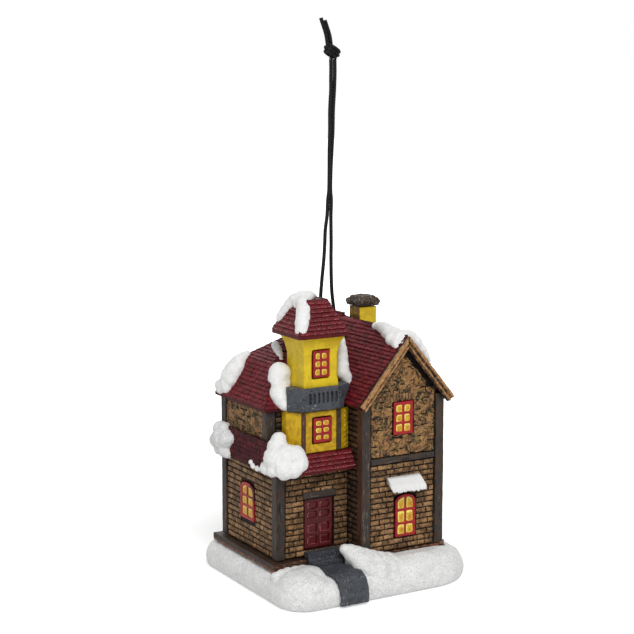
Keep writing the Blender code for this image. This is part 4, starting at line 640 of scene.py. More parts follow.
def add_modifier(thing: bpy.types.Object, tree: bpy.types.GeometryNodeTree, **values: object) -> None:
    """Puts a Geometry Nodes modifier on an object.

    Args:
        thing: The object.
        tree: The tree.
        values: Its inputs by name, with spaces written as underscores.
    """
    modifier = thing.modifiers.new(tree.name, "NODES")
    modifier.node_group = tree
    for socket in tree.interface.items_tree:
        title = socket.name.replace(" ", "_")
        if socket.item_type == "SOCKET" and socket.in_out == "INPUT" and title in values:
            modifier[socket.identifier] = values[title]


# The carving fades in over this height above its floor, in millimetres
FLOOR_BLEND = 0.6
# How much of the stored relief comes from the fine and the broad noise, and its middle
FINE_RELIEF = 1.5
BROAD_RELIEF = 0.7
MEAN_RELIEF = 0.58
CARVE = carving_tree()
LAY = laying_tree()


def placed(name: str, data: bpy.types.ID) -> bpy.types.Object:
    """Puts a mesh, a curve, a lamp or a camera in the scene.

    Args:
        name: The object's name.
        data: What it shows.

    Returns:
        The object.
    """
    thing = bpy.data.objects.new(name, data)
    bpy.context.scene.collection.objects.link(thing)
    return thing


class Piece:
    """A mesh that is worked in millimetres and handed over in metres."""

    def __init__(self, name: str, mesh: bpy.types.Mesh) -> None:
        """Puts the mesh in the scene."""
        self.thing = placed(name, mesh)

    @classmethod
    def from_node(cls, node: str, name: str) -> "Piece":
        """Copies a CAD node, with its loose triangles joined.

        Args:
            node: The node's name.
            name: The new piece's name.

        Returns:
            The copy, in millimetres.
        """
        shape = bmesh.new()
        shape.from_mesh(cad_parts[node].data)
        bmesh.ops.scale(shape, vec=(1 / MM, 1 / MM, 1 / MM), verts=shape.verts)
        bmesh.ops.remove_doubles(shape, verts=shape.verts, dist=0.002)
        return cls.from_shape(shape, name)

    @classmethod
    def from_shape(cls, shape: Shape, name: str, mend: bool = False) -> "Piece":
        """Makes a piece of a mesh under work, and frees that.

        Args:
            shape: The mesh under work.
            name: The new piece's name.
            mend: Turns the faces outwards first.

        Returns:
            The piece.
        """
        if mend:
            bmesh.ops.recalc_face_normals(shape, faces=shape.faces)
        mesh = bpy.data.meshes.new(name)
        shape.to_mesh(mesh)
        shape.free()
        return cls(name, mesh)

    def settle(self) -> "Piece":
        """Turns the modifiers' result into the plain mesh.

        Returns:
            The piece itself.
        """
        graph = bpy.context.evaluated_depsgraph_get()
        mesh = bpy.data.meshes.new_from_object(self.thing.evaluated_get(graph))
        self.thing.modifiers.clear()
        self.thing.data = mesh
        return self

    def carve(self, carving: Carving, finish: Finish) -> "Piece":
        """Remeshes the form evenly and roughens it.

        Args:
            carving: The sizes of the work.
            finish: What it is painted with.

        Returns:
            The piece itself.
        """
        grid = self.thing.modifiers.new("grid", "REMESH")
        grid.mode = "VOXEL"
        grid.voxel_size = carving.voxel
        soft = self.thing.modifiers.new("soft", "SMOOTH")
        soft.iterations = carving.smooth
        add_modifier(
            self.thing, CARVE, Broad_Size=carving.broad_size, Broad_Depth=carving.broad_depth,
            Fine_Size=carving.fine_size, Fine_Depth=carving.fine_depth, Stretch=carving.stretch,
            Floor=carving.floor, Material=coat(finish))
        return self.settle()

    def cut(self, tool: "Piece") -> "Piece":
        """Cuts another piece out of this one and removes it.

        Args:
            tool: The piece to cut out.

        Returns:
            The piece itself.
        """
        knife = self.thing.modifiers.new("cut", "BOOLEAN")
        knife.operation = "DIFFERENCE"
        knife.solver = "EXACT"
        knife.use_self = True
        knife.object = tool.thing
        self.settle()
        bpy.data.objects.remove(tool.thing)
        return self

    def raise_top(self, lift: float, reach: float = 1.0) -> None:
        """Lifts the piece's upper end.

        Args:
            lift: How far.
            reach: How far below its top the end begins.
        """
        points = self.thing.data.vertices
        top = max(vertex.co.z for vertex in points)
        for vertex in points:
            if vertex.co.z > top - reach:
                vertex.co.z += lift

    def mark(self, height: Callable[[Vector], float]) -> "Piece":
        """Stores a relief on the piece.

        Args:
            height: Gives the relief at a point.

        Returns:
            The piece itself.
        """
        mesh = self.thing.data
        relief = mesh.attributes.get("relief") or mesh.attributes.new("relief", "FLOAT", "POINT")
        for i, vertex in enumerate(mesh.vertices):
            relief.data[i].value = height(vertex.co)
        return self

    def repaint(self, finish: Finish, chosen: Picked) -> None:
        """Paints some faces with another finish.

        Args:
            finish: The other finish.
            chosen: Picks a face by its middle and its normal.
        """
        mesh = self.thing.data
        number = len(mesh.materials)
        mesh.materials.append(coat(finish))
        for polygon in mesh.polygons:
            if chosen(polygon.center, polygon.normal):
                polygon.material_index = number

    def dressed(self, finish: Finish, smooth: bool = True) -> "Piece":
        """Paints the whole piece with one finish.

        Args:
            finish: The finish.
            smooth: Shades it smooth.

        Returns:
            The piece itself.
        """
        mesh = self.thing.data
        mesh.materials.clear()
        mesh.materials.append(coat(finish))
        if smooth:
            mesh.shade_smooth()
        else:
            mesh.shade_flat()
        return self

    def moved(self, matrix: Matrix) -> "Piece":
        """Moves the mesh itself."""
        self.thing.data.transform(matrix)
        return self

    def join(self, *others: "Piece") -> "Piece":
        """Joins other pieces to this one.

        Args:
            others: The other pieces.

        Returns:
            The piece itself.
        """
        things = [self.thing] + [other.thing for other in others]
        with bpy.context.temp_override(active_object=self.thing, selected_editable_objects=things):
            bpy.ops.object.join()
        return self

    def hand_over(self, finish: Finish, node: str) -> None:
        """Brings the piece to metres and says what it stands for.

        Args:
            finish: Not used.
            node: The CAD node that it replaces.
        """
        self.moved(Matrix.Scale(MM, 4))
        self.thing.data.update()
        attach(self.thing, "house")
        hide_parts(node)
        LOG.info("%s: %d faces, for %s", self.thing.name, len(self.thing.data.polygons), node)


def corners(node: str) -> tuple[Vector, Vector]:
    """A node's lowest and highest corners in millimetres."""
    low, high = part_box(node)
    return Vector(low) / MM, Vector(high) / MM


def lumped(name: str, lumps: Sequence[Lump]) -> Piece:
    """Round lumps that lie in one another.

    Args:
        name: The new piece's name.
        lumps: The place and the radius of each.

    Returns:
        The piece.
    """
    shape = bmesh.new()
    for *place, radius in lumps:
        bmesh.ops.create_icosphere(shape, subdivisions=2, radius=radius, matrix=Matrix.Translation(place))
    return Piece.from_shape(shape, name)


def block(shape: Shape, middle: Sequence[float], size: Point, turn: Matrix = Matrix.Identity(4)) -> None:
    """Adds a block to a mesh under work."""
    scale = Matrix.Diagonal((*size, 1.0))
    bmesh.ops.create_cube(shape, size=1.0, matrix=Matrix.Translation(middle) @ turn @ scale)


def skin(shape: Shape, rings: Sequence[Ring]) -> None:
    """Closes a skin over rings of equally many points, with a face at each end.

    Args:
        shape: The mesh under work.
        rings: The rings, from one end to the other.
    """
    count = len(rings[0])
    for first, second in zip(rings, rings[1:]):
        for i in range(count):
            after = (i + 1) % count
            shape.faces.new((first[i], first[after], second[after], second[i]))
    shape.faces.new(list(reversed(rings[0])))
    shape.faces.new(rings[-1])


# Triangles lie on one flat face when their normals and levels are this close
SAME_TURN = 0.9995
SAME_LEVEL = 0.04
# Smaller triangles and flatter slopes have no use as faces
LEAST_AREA = 1e-4
LEAST_SLOPE = 0.02
# Stretches closer than this are one, and shorter ones are left out
SPAN_GAP = 0.03
LEAST_SPAN = 0.3
LEAST_SHARED = 0.05
# A stretch ends on a verge when it ends this far inside the face's own ends
VERGE_MARGIN = 0.15


@dataclass
class Face:
    """A flat face of a piece with its own axes: along, level with the ground, and up its slope."""

    normal: Vector
    level: float
    along: Vector
    rise: Vector
    area: float = 0.0
    triangles: list[list[Flat]] = field(default_factory=list)
    verge: Flat = (0.0, 0.0)

    @classmethod
    def all_of(cls, piece: Piece) -> list["Face"]:
        """Sorts a piece's triangles into its flat faces.

        Args:
            piece: The piece.

        Returns:
            Its faces that aren't level.
        """
        faces: list[Face] = []
        mesh = piece.thing.data
        for polygon in mesh.polygons:
            normal = polygon.normal.copy()
            along = Vector((0, 0, 1)).cross(normal)
            if polygon.area < LEAST_AREA or along.length < LEAST_SLOPE:
                continue
            level = normal.dot(polygon.center)
            for face in faces:
                if face.normal.dot(normal) > SAME_TURN and abs(face.level - level) < SAME_LEVEL:
                    break
            else:
                along.normalize()
                face = cls(normal, level, along, normal.cross(along))
                faces.append(face)
            face.area += polygon.area
            points = [mesh.vertices[i].co for i in polygon.vertices]
            face.triangles.append([(face.along.dot(point), face.rise.dot(point)) for point in points])
        return faces

    def reach(self) -> Flat:
        """The lowest and highest places up the slope."""
        heights = [v for triangle in self.triangles for _, v in triangle]
        return min(heights), max(heights)

    def spans(self, height: float) -> list[list[float]]:
        """The stretches that the face covers along a level line.

        Args:
            height: The line's place up the slope.

        Returns:
            The start and the end of each stretch, less the verge where it ends on a slope.
        """
        found = []
        for triangle in self.triangles:
            crossings = []
            for i, (u, v) in enumerate(triangle):
                other_u, other_v = triangle[(i + 1) % len(triangle)]
                if (v - height) * (other_v - height) < 0:
                    crossings.append(u + (other_u - u) * (height - v) / (other_v - v))
            if len(crossings) > 1:
                found.append([min(crossings), max(crossings)])
        merged: list[list[float]] = []
        for low, high in sorted(found):
            if merged and low <= merged[-1][1] + SPAN_GAP:
                merged[-1][1] = max(merged[-1][1], high)
            else:
                merged.append([low, high])
        edges = [u for triangle in self.triangles for u, _ in triangle]
        if merged and merged[0][0] > min(edges) + VERGE_MARGIN:
            merged[0][0] += self.verge[0]
        if merged and merged[-1][1] < max(edges) - VERGE_MARGIN:
            merged[-1][1] -= self.verge[1]
        return [span for span in merged if span[1] - span[0] > LEAST_SPAN]

    def at(self, along: float, rise: float, out: float = 0.0) -> Vector:
        """The point at a place on the face, or out from it."""
        return self.along * along + self.rise * rise + self.normal * (self.level + out)

    def turn(self) -> Euler:
        """The turn that lays a form's X along the face, its Z up the slope and its front outwards."""
        return Matrix((self.along, -self.normal, self.rise)).transposed().to_euler()


def shared(first: list[list[float]], second: list[list[float]]) -> list[list[float]]:
    """The stretches that two lists have in common."""
    pairs = [(max(a, c), min(b, d)) for a, b in first for c, d in second]
    return [[start, end] for start, end in pairs if end - start > LEAST_SHARED]


@dataclass(frozen=True)
class Bond:
    """How bricks or shingles are laid, in millimetres; uneven, margin and lap are shares of one."""

    course: float
    length: float
    bed: float
    joint: float
    depth: float
    uneven: float = 0.35
    least: float = 0.9
    lap: float = 0.0
    proud: float = 0.0
    stand: float = 0.05
    lean: float = 0.02
    wobble: float = 0.12
    wobble_size: float = 0.9
    whole_courses: bool = True
    margin: float = 0.12


@dataclass(frozen=True)
class Laid:
    """One brick or shingle: where it lies, how it is turned, its size and its tone."""

    place: Vector
    turn: Euler
    size: Point
    tone: float


class Mason:
    """Lays bricks and shingles in courses over flat faces."""

    def __init__(self, form: Piece, bond: Bond, seed: int) -> None:
        """Starts with nothing laid.

        Args:
            form: The brick or shingle.
            bond: How it is laid.
            seed: The seed of the draws.
        """
        self.form = form
        self.bond = bond
        self.draw = random.Random(seed)
        self.laid: list[Laid] = []

    def lay(self, place: Vector, turn: Euler, size: Point) -> None:
        """Lays one brick with a tone of its own."""
        self.laid.append(Laid(place, turn, size, self.draw.random()))

    def cover(self, face: Face) -> None:
        """Lays courses over a face.

        Args:
            face: The face.
        """
        bond = self.bond
        low, high = face.reach()
        courses = max(1, round((high - low) / bond.course))
        course = (high - low) / courses
        turn = face.turn().to_matrix()
        for row in range(courses):
            foot = low + row * course
            spans = face.spans(foot + 0.5 * course)
            if bond.whole_courses:
                for share in (bond.margin, 1 - bond.margin):
                    spans = shared(spans, face.spans(foot + share * course))
            for start, end in spans:
                for left, right in self.bricks(start, end, row):
                    out = self.draw.uniform(-bond.stand, bond.stand) + bond.proud
                    lean = Matrix.Rotation(self.draw.uniform(-bond.lean, bond.lean), 3, "Y")
                    size = (right - left - bond.joint, bond.depth, course * (1 + bond.lap) - bond.bed)
                    place = face.at((left + right) / 2, foot + course / 2 + bond.lap * course / 2, out)
                    self.lay(place, (turn @ lean).to_euler(), size)

    def bricks(self, start: float, end: float, row: int) -> list[Flat]:
        """Splits one stretch of a course into bricks.

        Args:
            start: Where the stretch starts.
            end: Where it ends.
            row: The number of the course.

        Returns:
            The start and the end of each brick.
        """
        bond = self.bond
        cuts = [start]
        for i in range(math.floor(start / bond.length) - 1, math.ceil(end / bond.length) + 2):
            place = (i + 0.5 * (row % 2) + self.draw.uniform(-0.5, 0.5) * bond.uneven) * bond.length
            if start + bond.least < place < end - bond.least and place - cuts[-1] > bond.least:
                cuts.append(place)
        cuts.append(end)
        return list(zip(cuts, cuts[1:]))

    def finish(self, name: str, finish: Finish) -> Piece:
        """Makes one mesh of everything that is laid.

        Args:
            name: The new piece's name.
            finish: Its finish.

        Returns:
            The piece.
        """
        mesh = bpy.data.meshes.new(name)
        mesh.from_pydata([tuple(item.place) for item in self.laid], [], [])
        for title in ("turn", "size"):
            attribute = mesh.attributes.new(title, "FLOAT_VECTOR", "POINT")
            for entry, item in zip(attribute.data, self.laid):
                entry.vector = tuple(getattr(item, title))
        tone = mesh.attributes.new("tone", "FLOAT", "POINT")
        for entry, item in zip(tone.data, self.laid):
            entry.value = item.tone
        piece = Piece(name, mesh)
        add_modifier(
            piece.thing, LAY, Form=self.form.thing, Wobble=self.bond.wobble,
            Wobble_Size=self.bond.wobble_size, Material=coat(finish))
        return piece.settle()


def slab_form(name: str, across: Sequence[float], up: Sequence[float], front: Shaped,
              relief: Shaped) -> Piece:
    """A small closed slab one unit wide and high, whose front is shaped by a function.

    Args:
        name: Its name.
        across: The grid's places across, from -1 to 1.
        up: The grid's places up, from -1 to 1.
        front: Gives the depth of the front at a place from -1 to 1 across and up; minus is outwards.
        relief: Gives the relief at that place.

    Returns:
        The form, hidden from renders.
    """
    shape = bmesh.new()
    heights = shape.verts.layers.float.new("relief")
    near: list[Ring] = []
    far: list[Ring] = []
    for grid, back in ((near, False), (far, True)):
        for v in up:
            line = []
            for u in across:
                vertex = shape.verts.new((u / 2, 1.0 if back else front(u, v), v / 2))
                vertex[heights] = 0.0 if back else relief(u, v)
                line.append(vertex)
            grid.append(line)
    columns = len(across) - 1
    rows = len(up) - 1
    for j in range(rows):
        for i in range(columns):
            shape.faces.new((near[j][i], near[j][i + 1], near[j + 1][i + 1], near[j + 1][i]))
            shape.faces.new((far[j][i], far[j + 1][i], far[j + 1][i + 1], far[j][i + 1]))
    rim = [(0, i) for i in range(columns)] + [(j, columns) for j in range(rows)]
    rim += [(rows, i) for i in range(columns, 0, -1)] + [(j, 0) for j in range(rows, 0, -1)]
    for (j, i), (next_j, next_i) in zip(rim, rim[1:] + rim[:1]):
        shape.faces.new((near[j][i], far[j][i], far[next_j][next_i], near[next_j][next_i]))
    piece = Piece.from_shape(shape, name, mend=True)
    piece.thing.hide_render = True
    return piece


# Where the worn edge of a brick begins, from its middle at 0 to its rim at 1
WORN = 0.95


def brick_front(u: float, v: float) -> float:
    """Depth of a brick's worn front."""
    return 0.0 if max(abs(u), abs(v)) < WORN else 0.3


def brick_relief(u: float, v: float) -> float:
    """Relief of a brick's worn front."""
    return 0.74 if max(abs(u), abs(v)) < WORN else 0.3


def shingle_front(u: float, v: float) -> float:
    """Depth of a shingle's front, thick at its lower edge and a little lower at its sides."""
    return -1.0 + 0.85 * (v + 1) / 2 + 0.14 * (abs(u) > 0.9) + 0.2 * (v < -0.9)


def shingle_relief(u: float, v: float) -> float:
    """Relief of a shingle: its lower part catches the light brush."""
    level = 0.5 if v < -0.9 else (0.95 if v < -0.5 else 0.66 - 0.3 * max(0.0, v))
    return level - 0.14 * (abs(u) > 0.9)


class Forms:
    """The brick and the shingle that the masons lay, which are no part of the house themselves."""

    def __init__(self) -> None:
        """Makes both, hidden from renders."""
        self.brick = slab_form(
            "brick_form", (-1.0, -0.9, 0.0, 0.9, 1.0), (-1.0, -0.78, 0.0, 0.78, 1.0), brick_front,
            brick_relief)
        self.shingle = slab_form(
            "shingle_form", (-1.0, -0.8, 0.0, 0.8, 1.0), (-1.0, -0.7, 0.0, 1.0), shingle_front,
            shingle_relief)

    def remove(self) -> None:
        """Takes both out of the scene once everything is laid."""
        for form in (self.brick, self.shingle):
            bpy.data.objects.remove(form.thing)


class Facing(Enum):
    """The way that a wall, window or door faces."""

    FRONT = (0, -1, 0)
    LEFT = (-1, 0, 0)
    RIGHT = (1, 0, 0)
    BACK = (0, 1, 0)

    @property
    def normal(self) -> Vector:
        """The direction outwards."""
        return Vector(self.value)

    @property
    def along(self) -> Vector:
        """The direction to the right of someone who looks at it."""
        return Vector((0, 0, 1)).cross(self.normal)

    def seat(self, middle: Vector) -> Matrix:
        """The matrix that sets a flat form upright with its front outwards at a point."""
        turn = Matrix((self.along, Vector((0, 0, 1)), self.normal)).transposed().to_4x4()
        return Matrix.Translation(middle) @ turn


@dataclass
class Plaster:
    """A lumpy sheet of plaster that comes out of a wall in places; sizes in millimetres."""

    share: float
    seed: int
    step: float = 0.24
    patch: Flat = (3.6, 2.2)
    patch_edge: float = 0.22
    sunk: float = 0.75
    stand: float = 0.84
    thickness: float = 0.35

    def out(self, u: float, v: float) -> float:
        """How far the sheet stands out of the wall.

        Args:
            u: The place along the wall.
            v: The place up the wall.

        Returns:
            The distance from the wall's face, below zero where the bricks are bare.
        """
        place = Vector((u / self.patch[0], v / self.patch[1], 3.7 * self.seed))
        value = 0.5 + 0.62 * noise_at(place) + 0.42 * noise_at(place * 2.9)
        cover = held((value - (1.0 - self.share)) / self.patch_edge + 0.5)
        rough = 0.2 * noise_at(Vector((u, v, 9.0)) * 0.9) + 0.24 * noise_at(Vector((u, v, 2.0)) * 2.1)
        return -self.sunk + cover * (self.stand + rough)

    def sheet(self, face: Face, name: str) -> Piece:
        """Makes the sheet.

        Args:
            face: The wall's face.
            name: The new piece's name.

        Returns:
            The sheet, with more relief where it stands out further.
        """
        low, high = face.reach()
        rows = max(2, math.ceil((high - low) / self.step))
        shape = bmesh.new()
        made: dict[tuple[int, int], bmesh.types.BMVert] = {}

        def vertex(i: int, j: int) -> bmesh.types.BMVert:
            """The sheet's point at a grid place."""
            if (i, j) not in made:
                u, v = i * self.step, low + (high - low) * j / rows
                made[i, j] = shape.verts.new(face.at(u, v, self.out(u, v)))
            return made[i, j]

        for j in range(rows):
            for start, end in face.spans(low + (high - low) * (j + 0.5) / rows):
                for i in range(math.ceil(start / self.step), math.floor(end / self.step)):
                    shape.faces.new((vertex(i, j), vertex(i + 1, j), vertex(i + 1, j + 1), vertex(i, j + 1)))
        piece = Piece.from_shape(shape, name)
        thick = piece.thing.modifiers.new("thick", "SOLIDIFY")
        thick.thickness = self.thickness
        thick.offset = -1.0
        piece.settle().mark(lambda spot: held(0.6 + 2.4 * (face.normal.dot(spot) - face.level - 0.06)))
        return piece.dressed(Finish.STUCCO)


@dataclass
class Masonry:
    """The brick walls, with plaster over a share of some; sizes in millimetres."""

    form: Piece
    recess: float = 0.38
    bond: Bond = Bond(
        course=1.5, length=3.4, bed=0.27, joint=0.22, depth=0.7, uneven=0.6, wobble=0.34, wobble_size=1.2)
    walls: tuple[tuple[str, Facing, float], ...] = (
        ("lower_left_wall", Facing.LEFT, 0.0), ("upper_left_wall", Facing.LEFT, 0.74),
        ("door_wall", Facing.FRONT, 0.0), ("upper_front_wall", Facing.FRONT, 0.0),
        ("right_wall", Facing.RIGHT, 0.0), ("back_wall", Facing.BACK, 0.0),
        ("wing_lower_wall", Facing.FRONT, 0.0), ("wing_gable_wall", Facing.FRONT, 0.74),
        ("wing_return_wall", Facing.LEFT, 0.0))
    shaded: tuple[str, ...] = ("wing_return_wall", "upper_front_wall")
    verge: Flat = (0.7, 1.3)
    lintel_size: Point = (1.4, 1.1, 1.8)
    lintel_place: Flat = (0.45, 1.25)
    arch_bricks: int = 7
    arch_brick: Flat = (0.6, 1.75)
    arch_inset: float = 0.1
    arch_joint: float = 0.05
    arch_place: Flat = (-0.4, 1.5)
    arch_fall: float = 0.35
    arch_lean: float = 0.2
    arch_seed: int = SEED + 30

    def build(self) -> None:
        """Builds every wall."""
        for seed, (node, facing, share) in enumerate(self.walls):
            self.wall(seed, node, facing, share)

    def wall(self, seed: int, node: str, facing: Facing, share: float) -> None:
        """Builds one wall: dark mortar behind, bricks in front, plaster over some of them.

        Args:
            seed: The wall's own seed.
            node: The CAD node.
            facing: The way it faces.
            share: The share of it that is plastered.
        """
        extras = {"door_wall": self.lintel, "wing_gable_wall": self.upright_bricks}
        mortar = Piece.from_node(node, node + "_brickwork")
        faces = [face for face in Face.all_of(mortar) if face.normal.dot(facing.normal) > 0.98]
        face = max(faces, key=lambda item: item.area)
        for vertex in mortar.thing.data.vertices:
            if abs(face.normal.dot(vertex.co) - face.level) < 0.03:
                vertex.co -= face.normal * self.recess
        mortar.mark(lambda spot: 0.4).dressed(Finish.MORTAR, smooth=False)
        if node == "wing_gable_wall":
            face.verge = self.verge
        mason = Mason(self.form, self.bond, SEED + seed)
        mason.cover(face)
        finish = Finish.SHADED_BRICK if node in self.shaded else Finish.BRICK
        mortar.join(mason.finish(node + "_bricks", finish))
        if share:
            mortar.join(Plaster(share, seed).sheet(face, node + "_plaster"))
        if node in extras:
            mortar.join(extras[node]())
        mortar.hand_over(Finish.BRICK, node)

    def lintel(self) -> Piece:
        """The timber over the door.

        Returns:
            The timber.
        """
        low, high = corners("front_door")
        wall, _ = corners("door_wall")
        spread, depth, height = self.lintel_size
        inset, rise = self.lintel_place
        shape = bmesh.new()
        middle = ((low.x + high.x) / 2, wall.y + inset, high.z + rise)
        block(shape, middle, (high.x - low.x + spread, depth, height))
        return Piece.from_shape(shape, "door_lintel").carve(Castings.beam, Finish.TIMBER)

    def upright_bricks(self) -> Piece:
        """The row of upright bricks over the gable window, fanned a little.

        Returns:
            The bricks.
        """
        low, high = corners("wing_gable_window")
        wall, _ = corners("wing_gable_wall")
        inset, rise = self.arch_place
        mason = Mason(self.form, self.bond, self.arch_seed)
        reach = (high.x - low.x) / 2 - self.arch_inset
        size = (2 * reach / self.arch_bricks - self.arch_joint, *self.arch_brick)
        for i in range(self.arch_bricks):
            share = 2 * i / (self.arch_bricks - 1) - 1
            height = high.z + rise - self.arch_fall * share ** 2
            place = Vector(((low.x + high.x) / 2 + share * reach, wall.y + inset, height))
            mason.lay(place, Euler((0, self.arch_lean * share, 0)), size)
        return mason.finish("gable_arch_bricks", Finish.BRICK)


@dataclass
class Roofing:
    """The shingled roofs; sizes in millimetres."""

    form: Piece
    bond: Bond = Bond(
        course=1.18, length=1.9, bed=0.0, joint=0.0, depth=0.32, uneven=0.7, least=0.6, lap=0.22, proud=0.05,
        wobble=0.34, wobble_size=1.2, whole_courses=False)
    roofs: tuple[tuple[str, Finish], ...] = (
        ("main_roof", Finish.SHINGLE), ("wing_roof_left", Finish.SHINGLE),
        ("wing_roof_right", Finish.SHINGLE), ("tower_roof", Finish.GLOSSY_SHINGLE),
        ("skirt_roof_front", Finish.GLOSSY_SHINGLE), ("skirt_roof_left", Finish.SHADED_SHINGLE))
    steepest: float = 0.05
    least_area: float = 3.0
    seed: int = SEED + 40
    crumbs: tuple[Lump, ...] = (
        (-16.8, 5.6, 64.1, 1.2), (-17.2, 4.2, 63.7, 1.2), (-17.6, 2.6, 63.2, 1.3), (-18.0, 1.0, 62.4, 1.1),
        (-18.3, 0.0, 61.2, 0.8))

    def build(self) -> None:
        """Builds every roof."""
        for number, (node, finish) in enumerate(self.roofs):
            under = Piece.from_node(node, node + "_shingles")
            mason = Mason(self.form, self.bond, self.seed + number)
            for face in Face.all_of(under):
                if face.normal.z > self.steepest and face.area > self.least_area:
                    mason.cover(face)
            under.mark(lambda spot: 0.45).dressed(finish, smooth=False)
            under.join(mason.finish(node + "_tiles", finish))
            if node == "main_roof":
                under.join(lumped("roof_crumbs", self.crumbs).carve(SnowLoads.crumbly, Finish.CRUMBLED_SNOW))
            under.hand_over(finish, node)


@dataclass
class Castings:
    """The pieces that keep their CAD form and only get their carved surface; sizes in millimetres."""

    ground: Carving = Carving(
        voxel=0.33, smooth=12, broad_size=3.0, broad_depth=0.26, fine_size=0.7, fine_depth=0.1, floor=0.2)
    post: Carving = Carving(
        voxel=0.17, smooth=1, broad_size=2.2, broad_depth=0.1, fine_size=0.45, fine_depth=0.09,
        stretch=(1.0, 1.0, 0.16))
    beam: Carving = Carving(
        voxel=0.17, smooth=1, broad_size=2.2, broad_depth=0.1, fine_size=0.45, fine_depth=0.09,
        stretch=(0.16, 1.0, 1.0))
    stone: Carving = Carving(
        voxel=0.17, smooth=1, broad_size=1.1, broad_depth=0.4, fine_size=0.5, fine_depth=0.28)
    ledge: Carving = Carving(
        voxel=0.22, smooth=1, broad_size=2.0, broad_depth=0.14, fine_size=0.6, fine_depth=0.12,
        stretch=(0.4, 0.4, 1.4))
    slate: Carving = Carving(
        voxel=0.2, smooth=1, broad_size=1.5, broad_depth=0.1, fine_size=0.4, fine_depth=0.12)
    painted: Carving = Carving(
        voxel=0.2, smooth=2, broad_size=3.0, broad_depth=0.08, fine_size=0.9, fine_depth=0.02)
    posts: tuple[str, ...] = (
        "front_left_post", "back_left_post", "back_right_post", "upper_left_post", "wing_left_post",
        "wing_right_post")
    post_lift: float = 1.8
    # The base sinks round this line beside the wing: its middle, half its length and how far it fades out
    bare: Lump = (15.5, -19.6, 8.0, 3.4)
    bare_level: float = 9.1
    bare_strength: float = 1.6
    path_end: float = 0.6
    rubbed: Flat = (0.45, 0.5)
    unrubbed: float = 0.12
    # Painted light: in front of this line, in millimetres, the upper plinth gets this much more relief and so
    # a lighter brush
    painted_light_front: Flat = (-13.0, 0.32)
    banks: tuple[Lump, ...] = (
        (-8.8, -17.5, 12.0, 1.6), (-7.4, -18.3, 11.7, 1.9), (-5.8, -19.2, 11.0, 2.1),
        (-4.0, -20.0, 10.3, 2.1), (-2.0, -20.6, 9.7, 2.1), (0.2, -21.0, 9.2, 2.0), (2.4, -21.2, 8.8, 1.9),
        (-8.0, -19.2, 10.6, 2.0), (-6.6, -20.4, 9.7, 2.5), (-4.6, -21.4, 9.1, 2.6),
        (-2.2, -22.0, 8.5, 2.7), (0.6, -22.2, 8.0, 2.6), (3.4, -22.2, 7.4, 2.5), (-6.4, -21.8, 8.6, 2.4),
        (-5.0, -23.2, 7.4, 2.9), (-1.6, -23.6, 6.9, 2.9), (1.8, -23.4, 6.6, 2.8), (-27.0, -18.4, 6.9, 1.2),
        (-25.2, -19.6, 6.9, 1.6), (-23.0, -20.0, 6.9, 1.8), (-20.8, -20.0, 7.0, 1.7),
        (-18.8, -19.6, 7.2, 1.5), (-28.2, -14.7, 6.9, 1.4), (-26.4, -14.8, 7.2, 1.6),
        (-24.4, -14.8, 7.3, 1.7), (-22.3, -14.9, 7.4, 1.7), (-20.2, -14.9, 7.4, 1.6),
        (-25.6, -16.8, 6.6, 1.8), (-23.2, -17.2, 6.8, 1.9), (-20.8, -17.2, 6.9, 1.9))

    def build(self) -> None:
        """Carves every such piece."""
        for node, name, carving, finish in (
                ("door_steps", "worn_steps", self.slate, Finish.SLATE),
                ("tower", "tower_walls", self.painted, Finish.YELLOW),
                ("chimney_cap", "chimney_cap_stone", self.stone, Finish.CAP),
                ("wing_beam", "wing_beam_timber", self.beam, Finish.TIMBER)):
            Piece.from_node(node, name).carve(carving, finish).hand_over(finish, node)
        for node in self.posts:
            post = Piece.from_node(node, node + "_timber")
            if node == "wing_right_post":
                post.raise_top(self.post_lift)
            post.carve(self.post, Finish.TIMBER)
            if node == "wing_left_post":
                post.repaint(Finish.BROWN_TIMBER, self.on_the_left)
            post.hand_over(Finish.TIMBER, node)
        self.ground_snow()
        self.path()
        self.plinth()
        self.chimney()

    @staticmethod
    def on_the_left(middle: Vector, normal: Vector) -> bool:
        """Picks the faces that look to the left."""
        return normal.x < -0.6

    def ground_snow(self) -> None:
        """The drifted base, which sinks beside the wing and shows the plinth there."""
        piece = Piece.from_node("snow_base", "drifted_snow")
        piece.join(lumped("snow_banks", self.banks)).carve(self.ground, Finish.SNOW)
        middle_x, middle_y, half, fade = self.bare
        for vertex in piece.thing.data.vertices:
            x, y, z = vertex.co
            beside = max(0.0, abs(x - middle_x) - half)
            near = max(0.0, 1.0 - math.hypot(beside, y - middle_y) / fade)
            if z > self.bare_level:
                vertex.co.z -= (z - self.bare_level) * min(1.0, self.bare_strength * near)
        piece.hand_over(Finish.SNOW, "snow_base")

    def path(self) -> None:
        """The path, with its smooth front end."""
        end = corners("stone_path")[0].y + self.path_end
        piece = Piece.from_node("stone_path", "path_slabs").carve(self.slate, Finish.SLATE)
        piece.repaint(Finish.RAIL, lambda middle, normal: middle.y < end or normal.y < -0.75)
        piece.hand_over(Finish.SLATE, "stone_path")

    def plinth(self) -> None:
        """The plinth, whose lower edge is rubbed to copper, with painted light on the upper part of its
        front.
        """
        low, high = corners("plinth")
        piece = Piece.from_node("plinth", "plinth_stones").carve(self.ledge, Finish.PLINTH)
        front, painted_light_lift = self.painted_light_front
        share, shine = self.rubbed
        relief = piece.thing.data.attributes["relief"].data
        for vertex, point in zip(piece.thing.data.vertices, relief):
            # The front of the upper part is lightened as painted light
            upper = self.unrubbed + (painted_light_lift if vertex.co.y < front else 0.0)
            rubbed = (vertex.co.z - low.z) / (high.z - low.z) < share
            point.value = 0.6 * point.value + (shine if rubbed else upper)
        piece.hand_over(Finish.PLINTH, "plinth")

